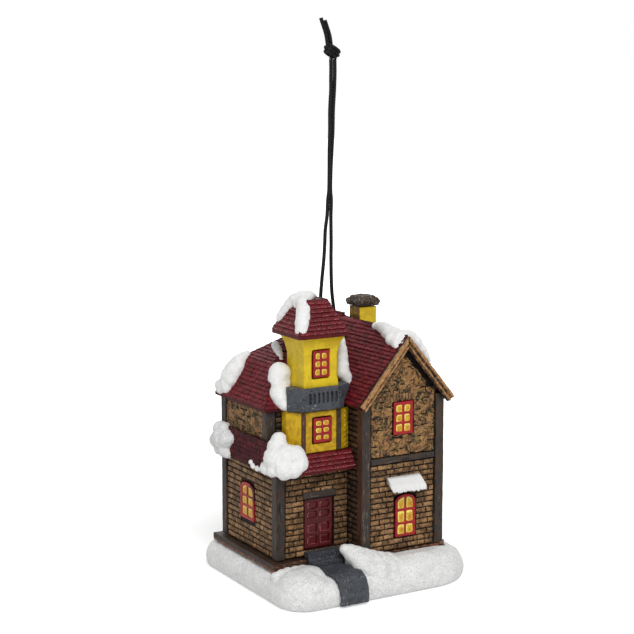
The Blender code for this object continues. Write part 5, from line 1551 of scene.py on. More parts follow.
    def chimney(self) -> None:
        """The chimney, darker on its left: partly darker paint, partly painted shade."""
        piece = Piece.from_node("chimney", "chimney_stack").carve(self.painted, Finish.YELLOW)
        piece.repaint(Finish.SOOTED_YELLOW, self.on_the_left)
        piece.hand_over(Finish.YELLOW, "chimney")


@dataclass(frozen=True)
class Drift:
    """Snow that lies in a heap of round lumps grown together, each a place and a radius in millimetres."""

    node: str
    finish: Finish
    lumps: tuple[Lump, ...]


@dataclass
class SnowLoads:
    """The snow on the roofs and ledges."""

    smooth: Carving = Carving(
        voxel=0.26, smooth=34, broad_size=2.4, broad_depth=0.2, fine_size=0.7, fine_depth=0.07)
    crumbly: Carving = Carving(
        voxel=0.22, smooth=20, broad_size=1.3, broad_depth=0.3, fine_size=0.5, fine_depth=0.17)
    drifts: tuple[Drift, ...] = (
        Drift("skirt_snow_front", Finish.ROOF_SNOW, (
            (-24.3, -9.8, 42.1, 2.1), (-25.0, -10.3, 40.2, 2.9), (-26.2, -11.6, 37.6, 3.4),
            (-24.2, -12.8, 38.0, 3.6), (-21.8, -13.8, 38.2, 3.0), (-21.1, -14.4, 36.3, 2.8),
            (-25.4, -14.4, 35.1, 2.9), (-23.0, -15.0, 35.0, 2.5), (-27.6, -9.6, 34.9, 2.1),
            (-27.5, -12.4, 34.7, 1.8), (-27.5, -5.8, 33.6, 0.8), (-27.7, -4.2, 33.5, 0.9),
            (-27.8, -2.2, 33.7, 0.9), (-27.8, -0.7, 34.5, 0.8))),
        Drift("skirt_snow_back", Finish.CRUMBLED_SNOW, (
            (-27.2, 16.2, 37.6, 3.4), (-27.4, 18.0, 40.0, 2.2), (-27.4, 13.4, 37.9, 2.7),
            (-27.4, 14.4, 34.6, 2.4), (-27.6, 19.0, 36.6, 2.6), (-27.2, 15.6, 40.4, 1.9),
            (-27.7, 12.6, 33.8, 1.3), (-27.3, 11.4, 38.3, 1.5), (-27.9, 17.4, 34.4, 1.8))),
        Drift("tower_left_snow", Finish.ROOF_SNOW, (
            (-20.6, -3.6, 58.2, 3.2), (-21.6, -4.0, 57.0, 2.6), (-20.2, -4.4, 55.6, 2.4),
            (-22.0, -6.2, 53.4, 3.1), (-21.9, -7.2, 52.2, 2.7), (-21.9, -8.4, 50.9, 1.8),
            (-20.9, -8.8, 50.2, 1.4))),
        Drift("tower_right_snow", Finish.ROOF_SNOW, (
            (-3.4, -6.4, 67.2, 1.1), (-3.5, -6.6, 65.6, 1.4), (-3.6, -6.9, 63.6, 1.8),
            (-3.7, -7.4, 61.5, 1.9), (-3.8, -7.9, 59.5, 2.0), (-3.9, -8.2, 57.6, 2.1),
            (-3.1, -8.6, 56.4, 1.8), (-2.6, -9.2, 54.9, 1.3))),
        Drift("roof_corner_snow", Finish.ROOF_SNOW, (
            (-26.8, 17.6, 51.4, 2.1), (-26.1, 16.2, 52.6, 2.3), (-25.3, 16.0, 54.5, 2.8),
            (-24.3, 15.4, 56.4, 2.9), (-23.2, 14.7, 58.2, 2.6), (-22.1, 14.2, 59.8, 1.8),
            (-21.2, 13.4, 60.8, 1.2), (-26.4, 19.2, 51.8, 1.9), (-24.9, 18.4, 54.8, 1.9),
            (-26.5, 14.9, 51.7, 1.8), (-25.6, 14.2, 53.9, 2.1), (-24.6, 13.7, 55.8, 2.0),
            (-23.6, 13.2, 57.4, 1.7))),
        Drift("tower_roof_snow", Finish.ROOF_SNOW, (
            (-19.6, -1.8, 72.5, 1.1), (-19.0, -2.2, 73.5, 1.5), (-18.2, -2.9, 74.9, 1.7),
            (-17.3, -3.8, 76.4, 1.9), (-16.5, -4.9, 77.7, 2.0), (-15.5, -6.3, 78.5, 1.9),
            (-14.3, -7.5, 78.7, 1.7), (-13.1, -6.9, 78.8, 1.4), (-12.0, -6.0, 78.7, 1.1),
            (-10.9, -5.2, 78.2, 0.9), (-9.9, -4.6, 77.4, 0.7), (-9.0, -4.2, 76.5, 0.5),
            (-15.6, -8.2, 77.8, 1.9), (-16.9, -7.2, 76.9, 1.6), (-16.9, -9.4, 77.4, 1.9),
            (-17.5, -10.8, 75.8, 2.1), (-18.1, -11.7, 74.2, 2.1), (-18.8, -12.4, 72.6, 2.1),
            (-19.5, -13.1, 71.0, 1.8), (-19.9, -13.7, 70.1, 0.9), (-6.3, -13.7, 69.7, 0.45),
            (-6.2, -12.6, 69.9, 0.45), (-6.3, -11.5, 70.1, 0.45), (-6.5, -10.4, 70.5, 0.4))),
        Drift("wing_ridge_snow", Finish.ROOF_SNOW, (
            (8.0, -5.6, 68.8, 1.2), (8.3, -7.6, 68.9, 1.6), (8.3, -8.8, 68.8, 1.8), (8.4, -10.0, 68.7, 1.9),
            (8.2, -11.2, 68.4, 2.0), (8.0, -12.4, 68.1, 2.1), (8.8, -14.2, 67.9, 2.0),
            (7.1, -15.0, 66.7, 2.0), (7.3, -17.3, 66.0, 1.8), (6.7, -18.4, 65.0, 1.2),
            (7.9, -18.7, 66.3, 1.2), (9.0, -18.6, 67.6, 1.2), (8.4, -11.2, 67.6, 2.0),
            (8.4, -13.4, 67.2, 2.1), (8.2, -15.6, 66.8, 2.0), (8.0, -17.0, 66.8, 1.6),
            (8.6, -16.6, 67.5, 1.8), (9.6, -17.4, 68.0, 1.5), (10.6, -17.2, 67.9, 1.7),
            (11.9, -17.2, 67.2, 1.8), (13.4, -17.5, 65.6, 1.8), (14.8, -17.9, 63.7, 1.6),
            (15.9, -18.2, 62.0, 1.3), (16.7, -18.5, 60.7, 0.9))))

    def build(self) -> None:
        """Builds every heap."""
        for drift in self.drifts:
            carving = self.crumbly if drift.node.startswith("skirt") else self.smooth
            heap = lumped(drift.node + "_lump", drift.lumps).carve(carving, drift.finish)
            heap.hand_over(drift.finish, drift.node)


def drawn(curve: bpy.types.Curve, places: Sequence[Sequence[float]]) -> bpy.types.Spline:
    """Adds a line of straight stretches to a curve.

    Args:
        curve: The curve.
        places: The line's points, three numbers each.

    Returns:
        The line.
    """
    spline = curve.splines.new("POLY")
    spline.points.add(len(places) - 1)
    for point, place in zip(spline.points, places):
        point.co = (*place, 1)
    return spline


def plate(name: str, outlines: Sequence[Sequence[Flat]], low: float, high: float, edge: float) -> Piece:
    """A flat plate with holes and rounded edges, lying in its own X and Y.

    Args:
        name: Its name.
        outlines: The outer outline and then the holes.
        low: Its back, along Z.
        high: Its front.
        edge: The radius of its edges.

    Returns:
        The plate.
    """
    curve = bpy.data.curves.new(name, "CURVE")
    curve.dimensions = "2D"
    curve.fill_mode = "BOTH"
    curve.extrude = (high - low) / 2 - edge
    curve.bevel_depth = edge
    curve.bevel_resolution = 2
    curve.offset = -edge
    for outline in outlines:
        drawn(curve, [(x, y, 0) for x, y in outline]).use_cyclic_u = True
    maker = placed(name + "_line", curve)
    graph = bpy.context.evaluated_depsgraph_get()
    mesh = bpy.data.meshes.new_from_object(maker.evaluated_get(graph))
    bpy.data.objects.remove(maker)
    shape = bmesh.new()
    shape.from_mesh(mesh)
    bmesh.ops.remove_doubles(shape, verts=shape.verts, dist=0.003)
    plain = Piece.from_shape(shape, name, mend=True)
    return plain.moved(Matrix.Translation((0, 0, (low + high) / 2)))


def rounded(square: Sequence[Flat], radii: Sequence[float]) -> list[Flat]:
    """Rounds an outline's corners.

    Args:
        square: The corners.
        radii: How far from each corner its round begins.

    Returns:
        The rounded outline.
    """
    outline = []
    for k, radius in enumerate(radii):
        corner = Vector(square[k])
        before = Vector(square[k - 1]) - corner
        after = Vector(square[(k + 1) % len(square)]) - corner
        start = corner + before.normalized() * min(radius, 0.48 * before.length)
        end = corner + after.normalized() * min(radius, 0.48 * after.length)
        for i in range(5):
            t = i / 4
            outline.append(tuple((1 - t) ** 2 * start + 2 * t * (1 - t) * corner + t * t * end))
    return outline


@dataclass
class Panels:
    """A framed insert with rows of lights or panels: a window or the door; sizes in millimetres."""

    node: str
    facing: Facing = Facing.FRONT
    frame_finish: Finish = Finish.WINDOW
    field_finish: Finish = Finish.LIGHT
    arch: float = 0.0
    border: float = 0.85
    bar: float = 0.75
    rows: tuple[float, ...] = (1.0, 1.0, 1.0)
    columns: int = 2
    wide_rail: int = -1
    sunk: float = 0.3
    dome: float = 0.22
    proud: float = 0.12
    depth: float = 0.6
    edge: float = 0.16
    grow: float = 0.12
    soft: float = 0.4
    outer_soft: float = 0.6
    arch_soft: Flat = (1.3, 0.5)
    arch_steps: int = 8
    jitter: float = 0.1
    # Painted highlights: extra relief, so a lighter brush, at the foot of each field and on the upper left
    # half of each domed field
    foot_painted_highlight: float = 0.0
    upper_painted_highlight: float = 0.2
    # Where the part of the frame painted darker as painted shade begins, and how far back it goes
    painted_shade_part: Flat | None = None
    # The domed front of a light in rings: their share of its outline, of its dome, and their relief
    crown: tuple[Point, ...] = ((0.84, 0.5, 0.95), (0.62, 0.7, 0.66), (0.36, 0.6, 0.46), (0.12, 0.55, 0.42))
    carving: Carving = Carving(
        voxel=0.11, smooth=2, broad_size=1.4, broad_depth=0.08, fine_size=0.5, fine_depth=0.02)
    half: float = field(default=0.0, init=False)
    height: float = field(default=0.0, init=False)

    def build(self) -> None:
        """Builds the frame and its fields as one piece."""
        low, high = corners(self.node)
        along = self.facing.along
        normal = self.facing.normal
        self.half = abs(along.dot(high - low)) / 2
        self.height = high.z - low.z
        foot = along * along.dot((low + high) / 2) + Vector((0, 0, low.z))
        seat = self.facing.seat(foot + normal * (max(normal.dot(low), normal.dot(high)) + self.proud))
        fields = self.fields()
        insert = plate(
            self.node + "_insert", [self.outline()] + fields, -self.depth - self.proud, 0.0, self.edge)
        insert.moved(seat).carve(self.carving, self.frame_finish)
        # Painted shade: faces of the frame above this height and in front of this depth take the dark door
        # red
        if self.painted_shade_part:
            foot, back = self.painted_shade_part
            insert.repaint(Finish.DOOR, lambda middle, normal: middle.z > foot and middle.y < back)
        for i, outline in enumerate(fields):
            insert.join(self.field(outline, i).moved(seat))
        insert.hand_over(self.frame_finish, self.node)

    def top(self, u: float) -> float:
        """The height of the outline at a place across it."""
        share = min(1.0, abs(u) / self.half)
        return self.height - self.arch * (1 - math.sqrt(1 - share * share))

    def outline(self) -> list[Flat]:
        """The outer outline, whose top follows the arch."""
        across = [self.half - 2 * self.half * i / self.arch_steps for i in range(self.arch_steps + 1)]
        return [(-self.half, 0.0), (self.half, 0.0)] + [(u, self.top(u)) for u in across]

    def fields(self) -> list[list[Flat]]:
        """The outlines of the lights or panels, with round and slightly uneven corners.

        Returns:
            The outlines, row by row from the foot.
        """
        draw = random.Random(self.node)
        width = (2 * self.half - 2 * self.border - (self.columns - 1) * self.bar) / self.columns
        rails = len(self.rows) - 1 + (1 if self.wide_rail >= 0 else 0)
        unit = (self.height - 2 * self.border - rails * self.bar) / sum(self.rows)
        outlines = []
        foot = self.border
        for j, share in enumerate(self.rows):
            head = foot + share * unit
            for i in range(self.columns):
                left = -self.half + self.border + i * (width + self.bar)
                right = left + width
                square = [(left, foot), (right, foot)]
                square += [(x, min(head, self.top(x) - self.border)) for x in (right, left)]
                square = [
                    (x + draw.uniform(-self.jitter, self.jitter), y + draw.uniform(-self.jitter, self.jitter))
                    for x, y in square]
                outer = [i == 0, i == self.columns - 1, i == self.columns - 1, i == 0]
                radii = [self.outer_soft if side else self.soft for side in outer]
                if self.arch and j == len(self.rows) - 1:
                    radii[2:] = [self.arch_soft[0] if side else self.arch_soft[1] for side in outer[2:]]
                    radii[:2] = [self.soft, self.soft]
                outlines.append(rounded(square, radii))
            foot = head + self.bar * (2 if j == self.wide_rail else 1)
        return outlines

    def field(self, outline: list[Flat], number: int) -> Piece:
        """One light or panel, domed and closed at the back.

        Args:
            outline: Its outline.
            number: Its number in the insert.

        Returns:
            The light or panel.
        """
        middle = [sum(values) / len(outline) for values in zip(*outline)]
        profile = [(1.0, -self.depth - self.proud, 0.3), (1.0, -self.sunk, 0.75)]
        profile += [(share, -self.sunk + rise * self.dome, relief) for share, rise, relief in self.crown]
        shape = bmesh.new()
        heights = shape.verts.layers.float.new("relief")
        rings = []
        for share, level, relief in profile:
            ring = []
            for x, y in outline:
                across = x - middle[0]
                up = y - middle[1]
                reach = share * (1 + self.grow / max(0.3, math.hypot(across, up)))
                vertex = shape.verts.new((middle[0] + across * reach, middle[1] + up * reach, level))
                # Painted highlights at the foot of the field and on the upper left half of its dome
                foot = self.foot_painted_highlight * (0.7 < share < 0.9 and up < 0 and abs(across) < -up)
                vertex[heights] = relief + foot + self.upper_painted_highlight * (share < 0.9) * (up - across > 0)
                ring.append(vertex)
            rings.append(ring)
        skin(shape, rings)
        return Piece.from_shape(shape, f"{self.node}_field_{number}", mend=True).dressed(self.field_finish)


@dataclass
class Joinery:
    """The windows, the door, the barge boards, the balcony rail and the awning; sizes in millimetres."""

    form: Piece
    # Each groove of the left and the right board: how far in from the top edge, and how wide
    left_grooves: tuple[Flat, ...] = ((1.3, 0.35), (2.1, 0.3))
    right_grooves: tuple[Flat, ...] = ((0.75, 0.75), (1.9, 0.6))
    groove_depth: float = 0.45
    groove_start: float = 4.0
    groove_length: float = 40.0
    barge_carving: Carving = Carving(
        voxel=0.12, smooth=1, broad_size=1.1, broad_depth=0.3, fine_size=0.5, fine_depth=0.13)
    slots: int = 7
    slot_size: Point = (0.55, 1.8, 2.9)
    slot_margin: float = 0.25
    slot_start: float = 0.12
    slot_lift: float = 0.25
    rail_carving: Carving = Carving(
        voxel=0.16, smooth=1, broad_size=2.0, broad_depth=0.08, fine_size=0.5, fine_depth=0.06)
    ridges: int = 15
    ridge_columns: int = 6
    ridge_height: float = 0.16
    ragged: float = 0.25
    awning_parts: int = 4
    awning_lift: float = 0.5
    awning_seed: int = SEED + 90
    bay_posts: tuple[tuple[float, float, float, Finish], ...] = (
        (-18.6, -12.85, 1.0, Finish.BROWN_TIMBER), (-8.0, -12.85, 1.35, Finish.TIMBER))
    bay_post_depth: float = 0.9
    bay_post_gap: float = 0.2
    blocks: int = 8
    block_size: Point = (1.5, 0.7, 0.95)
    block_margin: float = 0.9
    block_place: float = 0.66
    block_out: float = 0.1
    block_seed: int = SEED + 60

    def build(self) -> None:
        """Builds all of them."""
        for insert in (
                # The left window's frame gets painted shade on its upper front part
                Panels("left_window", facing=Facing.LEFT, arch=1.6, bar=0.65, sunk=0.4, rows=(1.0, 0.9, 1.1),
                       painted_shade_part=(22.8, 3.6)),
                Panels("wing_lower_window", arch=1.6, border=0.75, bar=0.62, rows=(0.9, 1.1, 1.1)),
                Panels("wing_gable_window", bar=0.65),
                Panels("bay_window", border=0.72, bar=0.65),
                Panels("tower_window", border=0.68, bar=0.6),
                # The door's fields get painted highlights at their feet
                Panels("front_door", frame_finish=Finish.DOOR, field_finish=Finish.DOOR, border=0.95,
                       bar=0.85, rows=(1.25, 1.25, 0.9, 0.9), wide_rail=1, sunk=0.5, dome=0.3, proud=0.0,
                       foot_painted_highlight=0.35)):
            insert.build()
        self.barge("barge_board_left", -1, self.left_grooves)
        self.barge("barge_board_right", 1, self.right_grooves)
        self.balcony()
        self.awning()
        self.bay()

    def bay(self) -> None:
        """The bay, with its corner posts and the small blocks beside the wing."""
        low, high = corners("bay")
        middle = (low.z + high.z) / 2
        height = high.z - low.z
        walls = Piece.from_node("bay", "bay_walls")
        facet = max(Face.all_of(walls), key=lambda face: face.normal.x - face.normal.y)
        walls.carve(Castings.painted, Finish.OCHRE)
        for x, y, width, finish in self.bay_posts:
            shape = bmesh.new()
            block(shape, (x, y, middle), (width, self.bay_post_depth, height - self.bay_post_gap))
            walls.join(Piece.from_shape(shape, "bay_post").carve(Castings.post, finish))
        mason = Mason(self.form, Masonry.bond, self.block_seed)
        start, end = facet.spans(middle)[0]
        for i in range(self.blocks):
            rise = low.z + self.block_margin + (height - 2 * self.block_margin) * i / (self.blocks - 1)
            place = facet.at(start + self.block_place * (end - start), rise, self.block_out)
            mason.lay(place, facet.turn(), self.block_size)
        walls.join(mason.finish("bay_blocks", Finish.OCHRE)).hand_over(Finish.OCHRE, "bay")

    def barge(self, node: str, side: int, grooves: Sequence[Flat]) -> None:
        """A barge board with dark grooves between its mouldings.

        Args:
            node: The board's CAD node.
            side: -1 for the left board and 1 for the right one.
            grooves: Each groove's place and width.
        """
        board = Piece.from_node(node, node + "_moulding")
        points = [vertex.co for vertex in board.thing.data.vertices]
        top = max(points, key=lambda point: point.z - 0.01 * abs(point.x))
        tip = max(points, key=lambda point: side * point.x + 0.01 * point.z)
        front = min(point.y for point in points)
        slope = Vector((tip.x - top.x, 0, tip.z - top.z)).normalized()
        inward = Vector((-side * abs(slope.z), 0, -abs(slope.x)))
        shape = bmesh.new()
        for across, width in grooves:
            start = Vector((top.x, 0, top.z)) + inward * across - slope * self.groove_start
            end = start + slope * self.groove_length
            outline = (start, end, end + inward * width, start + inward * width)
            skin(shape, [
                [shape.verts.new((point.x, y, point.z)) for point in outline]
                for y in (front - 1, front + self.groove_depth)])
        board.cut(Piece.from_shape(shape, "groove", mend=True)).carve(self.barge_carving, Finish.BARGE)
        board.mark(lambda spot: held(0.74 - 1.5 * (spot.y - front - 0.15)))
        board.hand_over(Finish.BARGE, node)

    def balcony(self) -> None:
        """The balcony, with slots cut between its balusters."""
        body = Piece.from_node("balcony", "balcony_railing")
        low, high = corners("balcony")
        middle = (low.z + high.z) / 2
        share, depth, height = self.slot_size
        shape = bmesh.new()
        for face in Face.all_of(body):
            if abs(face.normal.z) > 0.1 or face.area < 4 or face.normal.y > -0.95 or face.level < 0:
                continue
            turn = face.turn().to_matrix().to_4x4()
            for start, end in face.spans(middle)[:1]:
                start += self.slot_start * (end - start)
                pitch = (end - start - 2 * self.slot_margin) / self.slots
                for i in range(self.slots):
                    across = start + self.slot_margin + (i + 0.5) * pitch
                    place = face.at(across, middle + self.slot_lift)
                    block(shape, place, (share * pitch, depth, height), turn)
        body.cut(Piece.from_shape(shape, "slots")).carve(self.rail_carving, Finish.RAIL)
        body.hand_over(Finish.RAIL, "balcony")

    def awning(self) -> None:
        """The snowy awning, ridged from its back to its ragged front edge."""
        low, high = corners("awning")
        source = Piece.from_node("awning", "awning_source")
        section = sorted({(round(v.co.y, 3), round(v.co.z, 3)) for v in source.thing.data.vertices})
        bpy.data.objects.remove(source.thing)
        middle_y, middle_z = (sum(values) / len(section) for values in zip(*section))
        section.sort(key=lambda point: math.atan2(point[1] - middle_z, point[0] - middle_y))
        outline = []
        for (y, z), (next_y, next_z) in zip(section, section[1:] + section[:1]):
            for part in range(self.awning_parts):
                share = part / self.awning_parts
                outline.append((y + (next_y - y) * share, z + (next_z - z) * share))
        draw = random.Random(self.awning_seed)
        columns = self.ridges * self.ridge_columns
        edges = [draw.uniform(-self.ragged, self.ragged) for _ in range(self.ridges + 1)]
        shape = bmesh.new()
        heights = shape.verts.layers.float.new("relief")
        rings = []
        for i in range(columns + 1):
            share = i / columns
            x = low.x + (high.x - low.x) * share
            ridge = 0.5 + 0.5 * math.cos(2 * math.pi * share * self.ridges)
            edge = edges[int(share * self.ridges)]
            ring = []
            for y, z in outline:
                forward = (high.y - y) / (high.y - low.y)
                swell = self.ridge_height * (ridge - 0.5) + edge * forward ** 3
                lift = self.awning_lift * forward * (0.5 - share)
                out = Vector((y - middle_y, z - middle_z)).normalized()
                vertex = shape.verts.new((x, y + out.x * swell * 0.5, z + out.y * swell + lift))
                vertex[heights] = 0.35 + 0.5 * ridge
                ring.append(vertex)
            rings.append(ring)
        skin(shape, rings)
        snow = Piece.from_shape(shape, "awning_snow", mend=True).dressed(Finish.ROOF_SNOW)
        snow.hand_over(Finish.ROOF_SNOW, "awning")


def smooth_route(points: Sequence[Vector], spacing: float) -> list[Vector]:
    """A smooth line through some points.

    Args:
        points: The points.
        spacing: About how far apart the line's points are.

    Returns:
        The line's points.
    """
    ends = [2 * points[0] - points[1]] + list(points) + [2 * points[-1] - points[-2]]
    line = [points[0].copy()]
    for a, b, c, d in zip(ends, ends[1:], ends[2:], ends[3:]):
        steps = max(1, round((c - b).length / spacing))
        for i in range(1, steps + 1):
            t = i / steps
            square = (2 * a - 5 * b + 4 * c - d) * t ** 2
            line.append(0.5 * (2 * b + (c - a) * t + square + (3 * b - a - 3 * c + d) * t ** 3))
    return line


@dataclass
class HangingLoop:
    """The two strands from the eye to the knot, and the knot with its tails; sizes in millimetres."""

    thickness: float = 1.0
    ring: float = 3.8
    knot_foot: float = 72.05
    knot_place: Flat = (1.4, 74.2)
    # Across and up from the ring's middle, on the left side and on the right
    foot: tuple[Flat, ...] = ((0.3, 0.0), (0.9, 0.22), (1.75, 0.85), (2.3, 2.4))
    left: tuple[Point, ...] = (
        (-1.97, 0.0, 9.6), (-1.12, 0.0, 17.8), (-0.69, 0.2, 22.0), (-0.42, 0.35, 26.1), (0.03, 0.14, 30.1),
        (0.14, 0.1, 32.9), (0.17, -0.09, 34.9), (0.31, -0.32, 36.9), (0.4, -0.32, 42.4), (0.5, -0.2, 47.7),
        (0.7, -0.13, 53.1), (0.74, -0.08, 58.5), (1.07, -0.05, 63.8), (1.14, 0.1, 66.5), (1.2, 0.12, 69.1))
    right: tuple[Point, ...] = (
        (1.44, 0.0, 9.6), (1.2, 0.0, 17.8), (1.12, -0.2, 22.0), (0.98, -0.35, 26.1), (1.07, -0.14, 30.1),
        (1.2, -0.1, 32.9), (1.29, 0.09, 34.9), (1.23, 0.32, 36.9), (1.32, 0.32, 42.4), (1.55, 0.2, 47.7),
        (1.78, 0.13, 53.1), (1.87, 0.08, 58.5), (2.18, 0.05, 63.8), (2.2, -0.1, 66.5), (2.24, -0.12, 69.1))
    tops: tuple[Flat, ...] = ((1.14, 0.12), (2.18, -0.12))
    # Each tail: where it leaves the knot, how far it leans, and how long it is
    tails: tuple[Point, ...] = ((-1.15, -2.3, 8.3), (-0.1, -2.12, 7.72))
    # Each turn of the knot: its height, its reach, and where along it the cord sways
    turns: tuple[Point, ...] = ((0.95, 1.5, 0.0), (0.1, 1.95, 0.35), (-0.75, 1.75, 0.2))
    turn_depth: float = 1.1
    turn_sway: float = 0.3
    # The view of the photograph from above: to its right and away from it
    aside: Point = (0.863, -0.505, 0.0)
    away: Point = (0.505, 0.863, 0.0)

    def build(self) -> None:
        """Builds the strands and the knot."""
        low, high = corners("hanging_eye")
        centre = Vector(((low.x + high.x) / 2, (low.y + high.y) / 2, high.z - self.ring / 2))
        tops = [centre + Vector((x, y, self.knot_foot)) for x, y in self.tops]
        for node, side, course, top in (
                ("hanging_cord_left", -1, self.left, tops[0]),
                ("hanging_cord_right", 1, self.right, tops[1])):
            route = [centre + Vector((side * x, 0, z)) for x, z in self.foot]
            route += [centre + Vector(place) for place in course] + [top]
            self.strand(node, [point * MM for point in route])
        self.knot(centre, tops)

    def strand(self, node: str, route: list[Vector]) -> None:
        """One strand of the loop.

        Args:
            node: The CAD node that it replaces.
            route: The points that it follows, in metres.
        """
        points = smooth_route(route, 1.2 * self.thickness * MM)
        curve = bpy.data.curves.new(node + "_strand", "CURVE")
        curve.dimensions = "3D"
        curve.bevel_depth = self.thickness * MM / 2
        curve.bevel_resolution = 4
        curve.use_fill_caps = True
        drawn(curve, points).use_smooth = True
        curve.materials.append(coat(Finish.CORD))
        thing = placed(node + "_strand", curve)
        length = sum((b - a).length for a, b in zip(points, points[1:]))
        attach(thing, "house")
        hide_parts(node)
        self.thickness * MM
        LOG.info("%s: %.1f mm of cord", thing.name, length / MM)

    def knot(self, centre: Vector, tops: Sequence[Vector]) -> None:
        """An overhand knot of both strands, with its two tails.

        Args:
            centre: The middle of the ring.
            tops: Where each strand enters the knot.
        """
        middle = centre + Vector((self.knot_place[0], 0, self.knot_place[1]))
        lines = []
        for top, (across, lean, length) in zip(tops, self.tails):
            foot = middle + Vector((across, 0, 0.3))
            end = foot + Vector((lean, 0, length))
            lines.append(smooth_route([
                top, top + Vector((0.1, -0.1, 0.9)), foot + Vector((0.5, 0, -0.6)),
                foot + Vector((-0.1, 0, 0.8)), (foot + end) / 2 + Vector((0.4, 0, 0)), end], 0.4))
        slope = Vector(self.aside) * 0.86 + Vector((0, 0, -0.5))
        slope.normalize()
        depth = Vector(self.away)
        rise = depth.cross(slope)
        for height, reach, phase in self.turns:
            loop = []
            for i in range(29):
                angle = 2 * math.pi * i / 24
                sway = self.turn_sway * math.sin(angle + phase)
                loop.append(
                    middle + slope * (reach * math.cos(angle)) + depth * (self.turn_depth * math.sin(angle))
                    + rise * (height + sway))
            lines.append(loop)
        parts = [tube(f"knot_turn_{k}", line, 0.52 * self.thickness, 12) for k, line in enumerate(lines)]
        parts[0].join(*parts[1:]).dressed(Finish.CORD).hand_over(Finish.CORD, "cord_knot")


def tube(name: str, line: Sequence[Vector], radius: float, sides: int) -> Piece:
    """A closed round tube along a line.

    Args:
        name: Its name.
        line: The points that it follows.
        radius: Its radius.
        sides: How many sides it has.

    Returns:
        The tube.
    """
    shape = bmesh.new()
    rings = []
    across = Vector((0, 1, 0))
    for i, point in enumerate(line):
        ahead = (line[min(i + 1, len(line) - 1)] - line[max(i - 1, 0)]).normalized()
        across = (across - ahead * across.dot(ahead)).normalized()
        other = ahead.cross(across)
        rings.append([
            shape.verts.new(point + (across * math.cos(a) + other * math.sin(a)) * radius)
            for a in (2 * math.pi * k / sides for k in range(sides))])
    skin(shape, rings)
    return Piece.from_shape(shape, name, mend=True)


@dataclass
class LightModule:
    """The light module and the screw eye keep their CAD forms and get their finishes."""

    finishes: tuple[tuple[str, Finish], ...] = (
        ("hanging_eye", Finish.STEEL), ("module_housing", Finish.PLASTIC), ("circuit_board", Finish.BOARD),
        ("led_lamp", Finish.LED), ("coin_cell", Finish.STEEL), ("cell_clip", Finish.STEEL),
        ("switch_body", Finish.STEEL), ("switch_knob", Finish.PLASTIC), ("battery_hatch", Finish.PLASTIC),
        ("hatch_screw", Finish.STEEL))

    def build(self) -> None:
        """Puts each finish on its node."""
        for node, finish in self.finishes:
            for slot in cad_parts[node].material_slots:
                slot.material = coat(finish)
            LOG.info("%s: its own form, as %s", node, finish.name.lower())


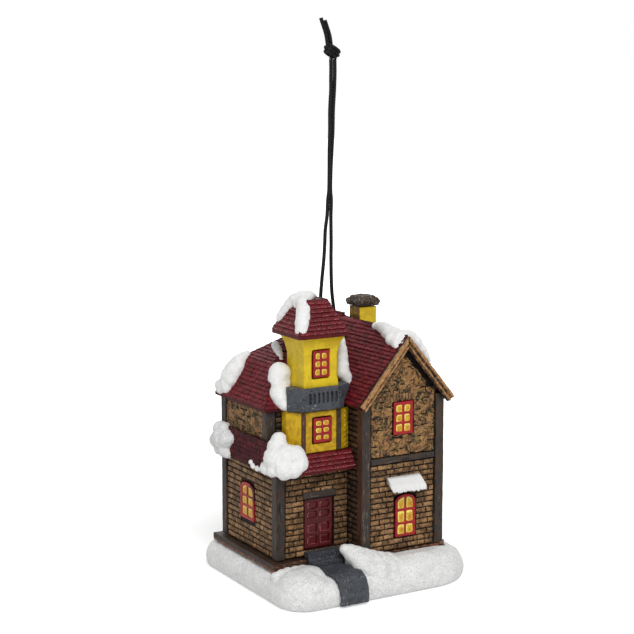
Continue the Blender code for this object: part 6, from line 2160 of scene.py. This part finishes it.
@dataclass
class Studio:
    """The camera of the photograph, soft lights and a white floor."""

    # The camera, in millimetres, degrees and pixels
    place: Point = (-213.28, -352.35, 135.07)
    pitch: float = 8.82
    azimuth: float = 30.34
    focal_pixels: float = 1537.11
    frame_pixels: float = 634.0
    sensor: float = 36.0
    # Each lamp: its place and its width in metres, and its power in watts
    lamps: tuple[tuple[str, Point, float, float], ...] = (
        ("key_light", (-0.22, -0.78, 0.85), 0.5, 7.6), ("fill_light", (-0.9, -0.1, 0.4), 0.7, 0.7),
        ("back_light", (0.2, 0.8, 0.7), 0.6, 1.6))
    aim: Point = (0.0, 0.0, 0.045)
    sky_strength: float = 0.42
    # The floor's opening under the base: half its sizes and its corners, in millimetres
    opening: Point = (26.5, 23.5, 7.0)
    # The floor's reach in metres, its paint, and the start and width of its glow in millimetres
    reach: float = 3.0
    paint: Colour = (0.92, 0.92, 0.92, 1.0)
    glow: Flat = (80.0, 200.0)
    glow_strength: Flat = (0.38, 0.62)

    def build(self) -> None:
        """Sets the scene up."""
        scene = bpy.context.scene
        camera = bpy.data.cameras.new("photo_camera")
        camera.sensor_width = self.sensor
        camera.lens = self.focal_pixels / self.frame_pixels * self.sensor
        camera.clip_start = 0.01
        thing = placed("photo_camera", camera)
        thing.location = [value * MM for value in self.place]
        thing.rotation_euler = (math.radians(90 - self.pitch), 0, math.radians(-self.azimuth))
        scene.camera = thing
        scene.view_settings.view_transform = "Standard"
        for name, place, size, power in self.lamps:
            light = bpy.data.lights.new(name, "AREA")
            light.size = size
            light.energy = power
            lamp = placed(name, light)
            lamp.location = place
            lamp.rotation_euler = (Vector(self.aim) - Vector(place)).to_track_quat("-Z", "Y").to_euler()
        self.sky()
        self.floor()

    def sky(self) -> None:
        """An even pale light from all round, white to the camera and in gloss and glass."""
        world = bpy.data.worlds.new("studio")
        bpy.context.scene.world = world
        world.use_nodes = True
        bench = Bench(world.node_tree)
        seen = bench.node("ShaderNodeLightPath")
        seen = (seen + seen.sibling("Is Glossy Ray") + seen.sibling("Is Transmission Ray")).clamped()
        even, white = (
            bench.node("ShaderNodeBackground", None, {"Color": (1, 1, 1, 1), "Strength": strength})
            for strength in (self.sky_strength, 1.0))
        mixed = bench.node("ShaderNodeMixShader", None, {0: seen, 1: even, 2: white})
        bench.node("ShaderNodeOutputWorld", None, {"Surface": mixed})

    def floor(self) -> None:
        """A wide white floor that keeps the shadow, open under the base so that its underside gets light."""
        across, deep, corner = (value * MM for value in self.opening)
        side = deep - corner
        end = across - corner
        rim = (
            (across, -side), (across, side), (end, deep), (-end, deep), (-across, side), (-across, -side),
            (-end, -deep), (end, -deep))
        grow = self.reach / across
        points = [(x * scale, y * scale, 0) for scale in (1.0, grow) for x, y in rim]
        count = len(rim)
        mesh = bpy.data.meshes.new("studio_floor")
        mesh.from_pydata(points, [], [
            (i, i + count, (i + 1) % count + count, (i + 1) % count) for i in range(count)])
        shop = Recipe("studio_floor")
        start, width = self.glow
        near, gain = self.glow_strength
        seen = shop.node("ShaderNodeLightPath")
        away = shop.node("ShaderNodeVectorMath", {"operation": "LENGTH"}, {0: shop.place()}, 1)
        strength = seen * (((away - start) / width).clamped() * gain + near)
        diffuse = shop.node("ShaderNodeBsdfDiffuse", None, {"Color": self.paint})
        glow = shop.node("ShaderNodeEmission", None, {"Color": (1, 1, 1, 1), "Strength": strength})
        both = shop.node("ShaderNodeAddShader", None, {0: diffuse, 1: glow})
        shop.node("ShaderNodeOutputMaterial", None, {"Surface": both})
        mesh.materials.append(shop.material)
        placed("studio_floor", mesh)


def main() -> None:
    """Builds the scene: the camera and the cords first, then the house from the ground up."""
    logging.basicConfig(level=logging.INFO, format="%(message)s")
    Studio().build()
    HangingLoop().build()
    forms = Forms()
    for stage in (
            Castings(), SnowLoads(), Masonry(forms.brick), Roofing(forms.shingle), Joinery(forms.brick),
            LightModule()):
        stage.build()
    forms.remove()


if __name__ == "__main__":
    main()
